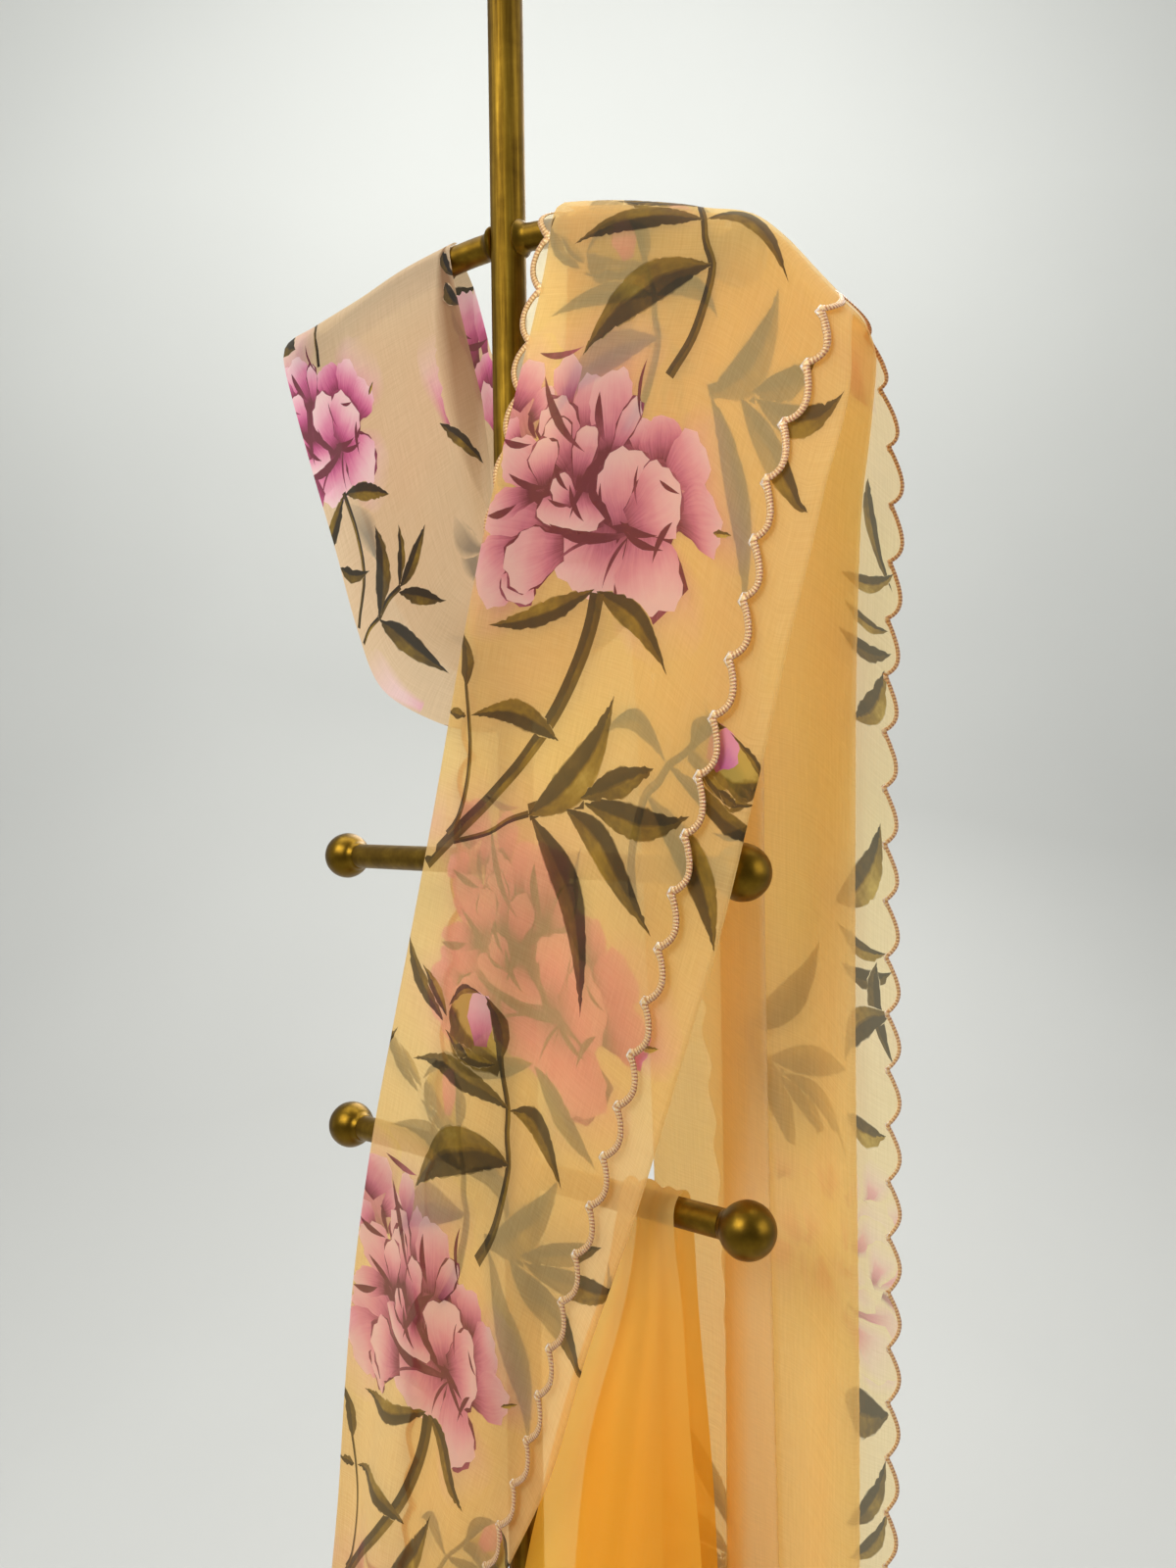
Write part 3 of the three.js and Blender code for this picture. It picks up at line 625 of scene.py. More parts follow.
def makeBrass(name, stretch, stain, blotched, marked, roughness):
    material, tree = newMaterial(name)
    place = addNode(tree, "ShaderNodeTexCoord").outputs["Object"]
    worn = useGroup(tree, rubbedPatina, {
        "Place": place, "Stretch": stretch, "Stain": stain, "Blotched": blotched, "Marked": marked,
    })
    colour = rampNode(tree, worn["Wear"], [
        (0.0, colourOf(70, 50, 14)), (0.4, colourOf(114, 86, 24)), (0.75, colourOf(148, 116, 36)),
        (1.0, colourOf(178, 144, 54)),
    ])
    rough = rangeNode(tree, worn["Wear"], 0.0, 1.0, roughness + 0.1, roughness - 0.08)
    relief = {"Strength": 0.25 * marked, "Distance": 0.0004, "Height": worn["Brushing"]}
    bump = addNode(tree, "ShaderNodeBump", relief)
    shader = addNode(tree, "ShaderNodeBsdfPrincipled", {
        "Base Color": colour, "Metallic": 1.0, "Roughness": rough, "Normal": bump.outputs[0],
    })
    addNode(tree, "ShaderNodeOutputMaterial", {0: shader.outputs[0]})
    return material


def clothShader(tree, colour, opacity, tint, weave, values):
    bump = addNode(tree, "ShaderNodeBump", {"Strength": values["bump"], "Distance": 0.0003, "Height": weave})
    cloth = addNode(tree, "ShaderNodeBsdfPrincipled", {
        "Base Color": colour, "Roughness": values["roughness"], "Sheen Weight": values["sheen"],
        "Sheen Roughness": 0.4, "Specular IOR Level": 0.25, "Normal": bump.outputs[0],
    })
    glow = addNode(tree, "ShaderNodeBsdfTranslucent", {"Color": colour})
    lit = addNode(tree, "ShaderNodeMixShader", {0: values["glow"], 1: cloth.outputs[0], 2: glow.outputs[0]})
    clear = addNode(tree, "ShaderNodeBsdfTransparent", {"Color": tint})
    whole = addNode(tree, "ShaderNodeMixShader", {0: opacity, 1: clear.outputs[0], 2: lit.outputs[0]})
    addNode(tree, "ShaderNodeOutputMaterial", {0: whole.outputs[0]})


def makePrintedOrganza(name, values):
    material, tree = newMaterial(name)
    flat = addNode(tree, "ShaderNodeUVMap", uv_map="flat").outputs[0]
    place = addNode(tree, "ShaderNodeAttribute", attribute_name="printPlace").outputs["Vector"]
    kind = addNode(tree, "ShaderNodeAttribute", attribute_name="printKind").outputs["Vector"]
    weave = useGroup(tree, threadWeave, {"Flat": flat, "Threads": 1100.0})
    ink = useGroup(tree, watercolourInk, {"Flat": flat, "Place": place, "Kind": kind})
    haze = noiseNode(tree, flat, 7.0, 2.0, 0.5)
    ground = mixColour(tree, rangeNode(tree, haze, 0.35, 0.7), values["ground"], values["haze"])
    # the ground is deeper orange further down the front; painted light: the innermost layer is painted
    # paler, standing in for the light that falls on it from the front; in metres on the flat cloth
    spot = addNode(tree, "ShaderNodeSeparateXYZ", {0: flat}).outputs
    ground = mixColour(tree, rangeNode(tree, spot[1], 0.45, 1.0), ground, values["low"])
    ground = mixColour(tree, rangeNode(tree, spot[0], 0.5, 0.56), ground, values["inner"])
    # the layers inside are printed stronger and pinker, as they are seen through the outer one: painted
    # light that offsets the shade they lie in
    inside = rangeNode(tree, spot[0], 0.236, 0.242, 0.0, values["inside"])
    ground = mixColour(tree, mathNode(tree, "MULTIPLY", weave["Tone"], 0.34), ground, values["slub"])
    petalHold = rangeNode(tree, ink["Deep"], 0.0, 1.0, values["petalStrength"], 0.98)
    petalHold = mathNode(tree, "ADD", petalHold, inside, clamp=True)
    leafHold = values["leafStrength"]
    petalExtra = mathNode(tree, "SUBTRACT", petalHold, leafHold)
    hold = mathNode(tree, "MULTIPLY_ADD", ink["Petal"], petalExtra, leafHold)
    inked = mathNode(tree, "MULTIPLY", ink["Mask"], hold)
    vivid = mathNode(tree, "MULTIPLY", ink["Petal"], mathNode(tree, "ADD", inside, values["vivid"]))
    vivid = mathNode(tree, "MULTIPLY", vivid, weightedSum(tree, 1.0, (ink["Deep"], -1.0)))
    paint = mixColour(tree, vivid, ink["Colour"], colourOf(244, 124, 192))
    colour = mixColour(tree, inked, ground, paint)
    clothOpacity = weightedSum(tree, values["opacity"] - 0.04, (weave["Tone"], 0.08))
    inkOpacity = mathNode(tree, "MULTIPLY", ink["Mask"], values["inkOpacity"])
    opacity = mathNode(tree, "MAXIMUM", clothOpacity, inkOpacity)
    clothShader(tree, colour, opacity, values["tint"], weave["Height"], values)
    return material


def makePlainOrganza(name, values):
    # pale over the arm, deeper colour further down
    material, tree = newMaterial(name)
    flat = addNode(tree, "ShaderNodeUVMap", uv_map="flat").outputs[0]
    weave = useGroup(tree, threadWeave, {"Flat": flat, "Threads": 1800.0})
    place = addNode(tree, "ShaderNodeSeparateXYZ", {0: flat}).outputs
    fall = mathNode(tree, "ABSOLUTE", place[1])
    shade = rampNode(tree, rangeNode(tree, fall, 0.0, 0.4), values["stops"])
    colour = mixColour(tree, mathNode(tree, "MULTIPLY", weave["Tone"], 0.12), shade, values["slub"])
    clothShader(tree, colour, values["opacity"], values["tint"], weave["Height"], values)
    return material


def makeStitch(name, values):
    material, tree = newMaterial(name)
    flat = addNode(tree, "ShaderNodeUVMap", uv_map="flat").outputs[0]
    thread = addNode(tree, "ShaderNodeTexWave", {
        "Vector": flat, "Scale": values["threads"], "Distortion": 1.2, "Detail": 2.0, "Detail Scale": 2.0,
    }, wave_type="BANDS", bands_direction="Y").outputs["Fac"]
    glint = noiseNode(tree, flat, 1100.0, 2.0, 0.7)
    # a darker twisted cord outside, a bright satin band inside it
    inward = addNode(tree, "ShaderNodeSeparateXYZ", {0: flat}).outputs[0]
    satin = rangeNode(tree, inward, 0.0024, 0.0034)
    shade = mixColour(tree, satin, values["cord"], values["shade"])
    # painted highlight: each stitch thread is painted lighter along its bands, less so on the cord
    lit = rangeNode(tree, thread, 0.2, 0.7)
    lit = mathNode(tree, "MULTIPLY", lit, rangeNode(tree, satin, 0.0, 1.0, 0.7, 1.0))
    colour = mixColour(tree, lit, shade, values["light"])
    # painted glints: random specks and the pointed stitches are painted near white, as if catching the light
    glint = mathNode(tree, "ADD", glint, rangeNode(tree, inward, 0.0046, 0.006, 0.0, 0.16))
    colour = mixColour(tree, rangeNode(tree, glint, 0.6, 0.68), colour, values["glint"])
    bump = addNode(tree, "ShaderNodeBump", {"Strength": 0.7, "Distance": 0.0004, "Height": thread})
    shader = addNode(tree, "ShaderNodeBsdfPrincipled", {
        "Base Color": colour, "Roughness": rangeNode(tree, glint, 0.4, 0.7, 0.5, 0.25),
        "Metallic": 0.15, "Sheen Weight": 0.3, "Normal": bump.outputs[0],
    })
    addNode(tree, "ShaderNodeOutputMaterial", {0: shader.outputs[0]})
    return material


# inner: a paler ground painted on the innermost layer as painted light; inside: how much stronger and pinker
# the inner layers' print is painted, to offset their shade
palluCloth = {
    "ground": colourOf(249, 222, 146), "haze": colourOf(249, 214, 154), "slub": colourOf(255, 236, 182),
    "low": colourOf(250, 206, 136), "inner": colourOf(255, 240, 204), "tint": colourOf(255, 244, 214),
    "opacity": 0.5, "inkOpacity": 0.86, "leafStrength": 0.94, "petalStrength": 0.76,
    "vivid": 0.3, "inside": 0.4, "glow": 0.4, "roughness": 0.62, "sheen": 0.1, "bump": 0.25,
}
swagCloth = {
    "ground": colourOf(224, 196, 156), "haze": colourOf(228, 190, 150), "slub": colourOf(244, 220, 186),
    "low": colourOf(232, 190, 150), "inner": colourOf(224, 196, 156), "tint": colourOf(255, 236, 200),
    "opacity": 0.88, "inkOpacity": 0.96, "leafStrength": 0.98, "petalStrength": 0.97,
    "vivid": 0.2, "inside": 0.0, "glow": 0.3, "roughness": 0.6, "sheen": 0.1, "bump": 0.25,
}
bodyCloth = {
    "stops": [
        (0.0, colourOf(250, 216, 140)), (0.2, colourOf(252, 200, 96)), (0.5, colourOf(254, 190, 60)),
        (1.0, colourOf(254, 184, 40)),
    ],
    "slub": colourOf(255, 214, 120), "tint": colourOf(255, 232, 160), "opacity": 0.76,
    "glow": 0.5, "roughness": 0.6, "sheen": 0.1, "bump": 0.25,
}
# cord, shade: the cord's and the satin band's colours; light: their painted highlight; glint: the painted
# glints
outerThread = {
    "cord": colourOf(176, 108, 72), "shade": colourOf(206, 146, 80), "light": colourOf(240, 200, 138),
    "glint": colourOf(255, 250, 240), "threads": 140.0,
}
# the same stitch painted as if in shade, for the inner cord behind the layers, with dimmer glints
innerThreadInShade = {
    "cord": colourOf(190, 130, 80), "shade": colourOf(212, 158, 88), "light": colourOf(236, 196, 130),
    "glint": colourOf(250, 226, 186), "threads": 130.0,
}
print("saree: finishes")
poleBrass = makeBrass("pole brass", (0.7, 0.7, 0.02), 0.34, 0.3, 0.8, 0.54)
armBrass = makeBrass("arm brass", (0.25, 0.25, 0.25), 0.36, 0.2, 0.4, 0.40)
ballBrass = makeBrass("ball brass", (0.3, 0.3, 0.3), 0.38, 0.12, 0.25, 0.34)
printedPallu = makePrintedOrganza("printed organza", palluCloth)
printedSwag = makePrintedOrganza("printed organza, layered", swagCloth)
plainBody = makePlainOrganza("plain organza", bodyCloth)
outerStitch = makeStitch("satin stitch", outerThread)
innerStitchInShade = makeStitch("satin stitch in shade", innerThreadInShade)


# stand

def turnedMesh(profile, segments):
    # a closed lathe about Z from (radius, height) pairs that start and end on the axis
    vertices, faces = [(0, 0, profile[0][1]), (0, 0, profile[-1][1])], []
    rings = profile[1:-1]
    for radius, height in rings:
        for k in range(segments):
            turn = 2 * math.pi * k / segments
            vertices.append((radius * math.cos(turn), radius * math.sin(turn), height))
    for k in range(segments):
        after = (k + 1) % segments
        faces.append((0, 2 + after, 2 + k))
        for r in range(len(rings) - 1):
            low, high = 2 + r * segments, 2 + (r + 1) * segments
            faces.append((low + k, low + after, high + after, high + k))
        last = 2 + (len(rings) - 1) * segments
        faces.append((1, last + k, last + after))
    return np.array(vertices, float), faces


def unit(rows):
    return rows / np.linalg.norm(rows, axis=-1, keepdims=True)


def ringFaces(rings, sides):
    # a closed tube's faces: the walls between its rings, and its two ends
    faces = []
    for ring in range(rings - 1):
        low, high = ring * sides, (ring + 1) * sides
        for k in range(sides):
            after = (k + 1) % sides
            faces.append((low + k, low + after, high + after, high + k))
    faces.append(tuple(range(sides))[::-1])
    faces.append(tuple(range((rings - 1) * sides, rings * sides)))
    return faces


def tubeMesh(centres, radii, segments=40):
    # a closed tube along a line of points, one radius each
    tangents = unit(np.gradient(centres, axis=0))
    up = np.array([0.0, 0.0, 1.0])
    vertices = []
    for centre, tangent, radius in zip(centres, tangents, radii):
        side = unit(np.cross(tangent, up))
        top = np.cross(side, tangent)
        for k in range(segments):
            turn = 2 * math.pi * k / segments
            vertices.append(centre + radius * (math.cos(turn) * side + math.sin(turn) * top))
    return np.array(vertices), ringFaces(len(centres), segments)


def standPiece(name, vertices, faces, material, *nodes):
    piece = newPiece(name, np.asarray(vertices) * mm, faces, material)
    piece.data.set_sharp_from_angle(angle=math.radians(50))
    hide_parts(*nodes)
    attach(piece, "root")
    return piece


def ballMesh(centre, toward, neck):
    # a cast ball on a short neck that turns into its arm
    rows, columns = 28, 40
    axis = Vector(toward).normalized()
    turnTo = Vector((0, 0, 1)).rotation_difference(axis).to_matrix()
    profile = [(0, -stand["ballRadius"])]
    for i in range(1, rows):
        angle = math.pi * i / rows
        dent = 1 + 0.004 * math.sin(5 * angle) + 0.003 * math.cos(11 * angle)
        radius = stand["ballRadius"] * math.sin(angle) * dent
        height = -stand["ballRadius"] * math.cos(angle)
        if height > neck - 1.2 and radius < stand["rodRadius"] + 2.2:
            break
        profile.append((radius, height))
    # how far the neck's steps stand out from the rod, and their heights
    steps = [(1.5, -0.4), (0.7, 0.8), (0.1, 2.2), (-0.2, 2.3), (-stand["rodRadius"], 2.3)]
    profile += [(stand["rodRadius"] + out, neck + up) for out, up in steps]
    vertices, faces = turnedMesh(profile, columns)
    turned = np.array([tuple(turnTo @ Vector(v)) for v in vertices])
    return turned + np.array(centre), faces


def armRadii(distances, start):
    # the arm flares where it is welded to the pole
    flare = stand["weldSize"] * np.exp(-((distances - start) / 2.4) ** 2)
    ripple = 0.5 * np.exp(-((distances - start - 3.6) / 1.3) ** 2)
    return stand["rodRadius"] + flare + ripple


def addStand():
    bevel, foot = 2.2, stand["baseHeight"] + stand["seatGap"]
    base = stand["baseRadius"]
    plate = [(0, 0), (base - 1, 0), (base, 1), (base, stand["baseHeight"] - bevel)]
    for turn in math.pi / 12 * np.arange(1, 7):
        inset, drop = bevel * (1 - math.cos(turn)), bevel * (1 - math.sin(turn))
        plate.append((base - inset, stand["baseHeight"] - drop))
    plate += [(base * 0.5, stand["baseHeight"]), (0, stand["baseHeight"])]
    standPiece("basePlate", *turnedMesh(plate, 128), ballBrass, "base_plate")
    collar = [(0, foot), (23.6, foot), (24, foot + 0.5), (24, foot + 15)]
    for i in range(1, 9):
        turn = math.pi / 16 * i
        collar.append((18 + 6 * math.cos(turn), foot + 16 + 6 * math.sin(turn) - 0.2))
    collar += [(13.2, foot + 21.9), (0, foot + 21.9)]
    standPiece("poleCollar", *turnedMesh(collar, 72), ballBrass, "pole_collar")
    pole = [(0, foot), (stand["poleRadius"], foot)]
    pole += [(stand["poleRadius"], z) for z in np.linspace(foot + 20, stand["poleTop"] - 1, 60)]
    pole += [(stand["poleRadius"] - 0.8, stand["poleTop"]), (0, stand["poleTop"])]
    standPiece("polePost", *turnedMesh(pole, 72), poleBrass, "pole")
    radius = stand["ballRadius"]
    seat = math.sqrt(radius**2 - stand["poleRadius"] ** 2)
    centre = stand["poleTop"] + stand["seatGap"] + seat
    foot = centre - seat
    finial = [(0, foot), (12.6, foot), (13.4, foot + 0.8), (13.2, foot + 1.8)]
    start = math.asin(-seat / radius)
    for i in range(3, 24):
        turn = mixValues(start, math.pi / 2, i / 24)
        finial.append((radius * math.cos(turn), centre + radius * math.sin(turn)))
    finial.append((0, centre + radius))
    standPiece("poleFinial", *turnedMesh(finial, 56), ballBrass, "pole_finial")
    for side, sign in (("Left", -1), ("Right", 1)):
        end = fromYoke(sign * yoke["reach"], 0, yokeHeight(yoke["reach"]))
        along = sign * np.concatenate([np.linspace(9.5, 22, 14), np.linspace(25, 164, 40)])
        line = fromYoke(along, 0 * along, yokeHeight(along))
        radii = armRadii(np.abs(along), 11.5)
        standPiece("yoke" + side, *tubeMesh(line, radii), armBrass, "yoke_" + side.lower())
        toward = line[-1] - end
        neck = float(np.linalg.norm(toward)) + 3.5
        ball = ballMesh(end, toward, min(neck, 15.6))
        standPiece("yokeBall" + side, *ball, ballBrass, "yoke_ball_" + side.lower())
        way = np.array([math.cos(bars["turn"]), -math.sin(bars["turn"]), 0.0]) * sign
        for level, height in bars["heights"].items():
            end = way * bars["reach"] + np.array([0, 0, height])
            distances = np.concatenate([np.linspace(9.5, 22, 14), np.linspace(25, bars["reach"] - 12, 12)])
            line = way[None, :] * distances[:, None] + np.array([0, 0, height])
            radii = armRadii(distances, 11.5)
            standPiece(level + "Rod" + side, *tubeMesh(line, radii), armBrass, f"{level}_rod_{side.lower()}")
            ball = ballMesh(end, -way, 15.3)
            standPiece(level + "Ball" + side, *ball, ballBrass, f"{level}_ball_{side.lower()}")


print("saree: stand")
addStand()


# printed shapes, drawn on the flat cloth: x towards the selvedge, y down the cloth

def headingWays(heading):
    # heading 0 points up the cloth and 90 towards the selvedge
    turn = math.radians(heading)
    return np.array([math.sin(turn), -math.cos(turn)]), np.array([math.cos(turn), math.sin(turn)])


def petalShape(x, y, heading, length, width, tone=0.0, bend=0.0):
    along, side = headingWays(heading)
    return {"kind": "petal", "round": True, "at": np.array([x, y], float), "along": along, "side": side,
            "length": length, "width": width, "tone": tone, "bend": bend}


def leafShape(x, y, toX, toY, width, tone=0.0, bend=0.12):
    reach = np.array([toX - x, toY - y], float)
    length = float(np.linalg.norm(reach))
    along = reach / length
    return {"kind": "leaf", "round": False, "at": np.array([x, y], float), "along": along,
            "side": np.array([-along[1], along[0]]), "length": length, "width": width,
            "tone": tone, "bend": bend}


def ofKind(kind, shape):
    # gap: a dark line between petals; wash: petal colour that fades out; shade: leaf-shaped marks that fade
    # out, brown ones as painted shade on folds and grey ones as faint leaf ghosts
    return {**shape, "kind": kind}


def stemShape(points, startWidth, endWidth, tone=-0.1):
    points = np.array(points, float)
    steps = np.concatenate(([0], np.cumsum(np.linalg.norm(np.diff(points, axis=0), axis=1))))
    rows = [(s, *p) for s, p in zip(steps, points)]
    at = np.linspace(0, steps[-1], max(8, int(steps[-1] / 7)))
    line = np.stack([readColumn(rows, 1, at), readColumn(rows, 2, at)], 1)
    widths = mixValues(startWidth, endWidth, np.linspace(0, 1, len(at)))
    return {"kind": "stem", "line": line, "widths": widths, "tone": tone}


def placed(shapes, across, along, turn=0.0, size=1.0, flip=1):
    # from a motif's own x and y to flat places on the cloth
    c, s = math.cos(math.radians(turn)), math.sin(math.radians(turn))
    wide, long = size if isinstance(size, tuple) else (size, size)

    def swing(v):
        v = np.asarray(v, float)
        x = v[..., 0] * c - v[..., 1] * s
        y = v[..., 0] * s + v[..., 1] * c
        return np.stack([-flip * wide * x, long * y], -1)
    result, origin = [], np.array([across, along], float)
    for shape in shapes:
        moved = dict(shape)
        if "line" in shape:
            moved["line"] = origin + swing(shape["line"])
            moved["widths"] = shape["widths"] * math.sqrt(wide * long)
        else:
            moved["at"] = origin + swing(shape["at"])
            moved["along"], moved["side"] = swing(shape["along"]), swing(shape["side"])
        result.append(moved)
    return result


def halfWidth(shape, u):
    if shape["round"]:
        wide = 0.6
        low = mixValues(0.42, 1.0, smoothStep(u / wide * 0.96 + 0.04))
        high = np.sqrt(np.clip(1 - ((u - wide) / (1 - wide)) ** 2, 0, 1))
        return shape["width"] / 2 * np.where(u < wide, low, high)
    return shape["width"] / 2 * np.sin(math.pi * np.clip(u, 0, 1) ** 0.85) ** 1.1


def outlineOf(shape, rng):
    if shape["kind"] == "stem":
        line, ways = shape["line"], unit(np.gradient(shape["line"], axis=0))
        sides = np.stack([-ways[:, 1], ways[:, 0]], 1) * (shape["widths"] / 2)[:, None]
        return np.concatenate([line + sides, (line - sides)[::-1]])
    petal = shape["round"]
    count = max(11, int(shape["length"] / (3.2 if petal else 2.6)))
    u = (1 - np.cos(np.linspace(0, 1, count) * math.pi)) / 2
    width = halfWidth(shape, u)
    x = np.concatenate([width, -width[::-1][1:]])
    y = np.concatenate([u, u[::-1][1:]]) * shape["length"]
    if petal:
        wobble = rng.uniform(0, 6.28, 2)
        turn = np.linspace(-1, 1, len(x)) * math.pi
        ruffle = 0.06 * np.sin(5 * turn + wobble[0]) + 0.05 * np.sin(11 * turn + wobble[1])
        ruffle *= smoothStep(y / shape["length"] * 2)
        middle = shape["length"] * 0.5
        x, y = x * (1 + ruffle), middle + (y - middle) * (1 + ruffle)
    else:
        x = x * (1 + 0.08 * rng.uniform(-1, 1, len(x)))
        if shape["kind"] == "leaf":
            fade = np.minimum(1, np.abs(x) / 2.5)
            x = x + 1.1 * fade * rng.uniform(-1, 1, len(x))
            y = y + 1.1 * fade * rng.uniform(-1, 1, len(x))
    bent = x + shape["bend"] * shape["length"] * bendAt(shape, y / shape["length"])
    return shape["at"] + y[:, None] * shape["along"] + bent[:, None] * shape["side"]


def bendAt(shape, u):
    return u * u if shape["round"] else 4 * u * (1 - u)


def insidePlaces(shape, points):
    # each point's place along the shape (0 to 1) and across it (-1 to 1)
    if shape["kind"] == "stem":
        line = shape["line"]
        gaps = points[:, None, :] - line[None, :, :]
        nearest = np.argmin((gaps**2).sum(axis=2), axis=1)
        gap, way = gaps[np.arange(len(points)), nearest], unit(np.gradient(line, axis=0))[nearest]
        across = (gap[:, 1] * way[:, 0] - gap[:, 0] * way[:, 1]) / (shape["widths"][nearest] / 2)
        return nearest / (len(line) - 1), np.clip(across, -1, 1) * 0.9
    ways = np.stack([shape["side"], shape["along"]], 1)
    sideways, forwards = np.linalg.solve(ways, (points - shape["at"]).T)
    y = forwards / shape["length"]
    x = sideways - shape["bend"] * shape["length"] * bendAt(shape, y)
    width = np.maximum(halfWidth(shape, np.clip(y, 0.02, 0.98)), 0.4)
    return np.clip(y, 0, 1.05), np.clip(x / width, -1.05, 1.05)


def peony():
    # soft washes first: (x, y, heading, length, width, tone)
    washes = [
        (-48, -20, -6, 96, 150, 0.36), (-92, -20, -34, 84, 90, 0.34), (44, 8, 46, 78, 92, 0.4),
        (-60, 40, 231, 92, 90, 0.4), (24, 24, 140, 82, 84, 0.42),
    ]
    # petals from the rim to the heart
    petals = [
        (-112, -43, 20, 36, 30, 0.1), (-95, -37, 40, 26, 22, 0.06), (-38, -28, -11, 42, 27, -0.14),
        (-62, -46, -18, 36, 26, 0.2), (-14, -22, -16, 53, 40, 0.12), (18, -19, -20, 26, 22, -0.26),
        (33, -12, -14, 36, 34, -0.36), (40, -6, 39, 42, 36, 0.04), (53, 10, 60, 40, 38, 0.02),
        (-9, -20, 17, 38, 17, 0.2), (-102, -20, -60, 22, 24, 0.1), (-43, -8, -43, 55, 35, 0.06),
        (-49, -8, -44, 39, 28, 0.16), (-65, 6, -65, 54, 34, 0.1), (-67, 6, -21, 32, 27, 0.14),
        (-38, -1, 3, 35, 23, 0.04), (-40, 35, 270, 76, 38, -0.26), (-76, 50, 231, 48, 54, 0.22),
        (-70, 60, 190, 26, 36, 0.16), (-7, 24, 193, 47, 70, 0.18), (-36, 44, 249, 57, 42, 0.24),
        (22, 28, 180, 44, 46, 0.22), (27, 21, 151, 56, 58, 0.34), (-74, 13, 252, 44, 22, -0.16),
        (-38, 7, 182, 27, 66, 0.22), (-36, 15, -62, 27, 20, 0.06), (12, 22, -17, 48, 45, 0.32),
        (16, 22, 49, 46, 50, 0.27),
    ]
    # (x, y, to x, to y, width, tone) of the dark gaps between petals
    gaps = [
        (-118, -23, -88, -20, 5, -0.35), (-97, -42, -84, -23, 5, -0.3), (-104, 1, -62, 7, 5, -0.35),
        (-62, 15, -37, 16, 3, -0.2), (-12, -23, -37, 26, 8, -0.6), (-56, 31, 24, 24, 8, -0.3),
        (8, 21, 42, 25, 5, -0.5), (34, -8, 54, -4, 3, -0.3), (52, 14, 43, 42, 5, -0.8),
        (-15, 0, -3, 22, 3, -0.4), (19, 28, 6, 64, 3, -0.1), (-6, 36, -46, 61, 2.5, 0.0),
        (-101, -82, -60, -87, 5, 0.0), (-90, -66, -36, -18, 7, -0.25), (-35, -58, -17, -24, 7, -0.2),
        (0, -82, 9, -42, 3, -0.6), (-116, 31, -90, 21, 6, -0.7), (14, -15, 20, 10, 2.2, 0.0),
        (-44, 4, -22, 26, 5, -0.6), (12, 26, 50, 32, 5, -0.6), (-62, -8, -44, 8, 4, -0.5),
    ]
    shapes = [ofKind("wash", petalShape(*wash)) for wash in washes]
    shapes.append(ofKind("gap", petalShape(-20, 54, -4, 98, 132, -0.2)))
    rimmed = (9, 11, 12, 14, 15, 18, 20, 22, 24, 25, 26, 27)
    for i, (x, y, heading, length, width, tone) in enumerate(petals):
        if i in rimmed:
            shapes.append(ofKind("gap", petalShape(x, y, heading, length + 1.2, width + 2.6, -0.22)))
        shapes.append(petalShape(x, y, heading, length, width, tone))
    return shapes + [ofKind("gap", leafShape(*gap, 0.1)) for gap in gaps]


def calyx():
    return [
        leafShape(0, 65, -94, 104, 17, 0.05, -0.05), leafShape(2, 66, 76, 92, 18, -0.02, -0.04),
        leafShape(84, 0, 97, -9, 4, 0.6, 0.0),
    ]


def flowerStem():
    thick = [(3, 67), (4, 87), (0, 113), (-12, 147), (-34, 182), (-60, 212), (-85, 241), (-113, 279)]
    return [
        stemShape(thick, 12, 9),
        stemShape([(-105, 147), (-97, 169), (-91, 190), (-89, 214), (-92, 240), (-99, 252)], 3, 4),
        stemShape([(-92, 256), (-56, 237), (-37, 223), (-17, 212)], 3.5, 4.5),
        leafShape(-3, 161, -96, 167, 18, -0.02, 0.1), leafShape(-105, 150, -119, 112, 13, -0.3, 0.1),
        leafShape(-100, 168, -119, 169, 8, -0.3, 0.0),
    ]


def leafCluster():
    # five leaves from one point
    return [
        stemShape([(0, 0), (22, -13), (46, -20)], 11, 7),
        leafShape(0, 2, 54, -88, 29, 0.14, 0.12), leafShape(42, -22, 99, -68, 18, -0.08, 0.05),
        leafShape(46, -20, 130, -62, 20, -0.04, 0.12), leafShape(32, -12, 123, 19, 25, -0.02, -0.03),
        leafShape(3, 2, 86, 98, 26, -0.3, -0.1),
    ]


def bud():
    # a round bud with a pink tip in its sepals, on a leafy stem
    return [
        ofKind("leafy", petalShape(27, 12, -83, 68, 54, 0.95)), petalShape(6, 10, -20, 36, 29, 0.55),
        leafShape(24, 15, 0, -24, 16, -0.25, 0.2), leafShape(-43, 5, -3, -23, 7, -0.1, -0.15),
        leafShape(22, 16, -42, 22, 11, 0.15, -0.06), leafShape(-24, 24, -4, 22, 9, -0.35, 0.0),
        leafShape(-46, 18, -95, -27, 13, -0.1, -0.1), leafShape(-43, 13, -77, -12, 10, 0.35, 0.0),
        stemShape([(24, 6), (29, 19), (41, 39), (46, 56), (55, 73), (57, 101), (55, 125), (45, 151)], 4, 9),
        leafShape(42, 39, -70, 58, 19, -0.12, 0.08), leafShape(43, 39, 111, 53, 19, -0.08, -0.22),
        leafShape(55, 72, -37, 142, 36, 0.12, 0.16),
    ]


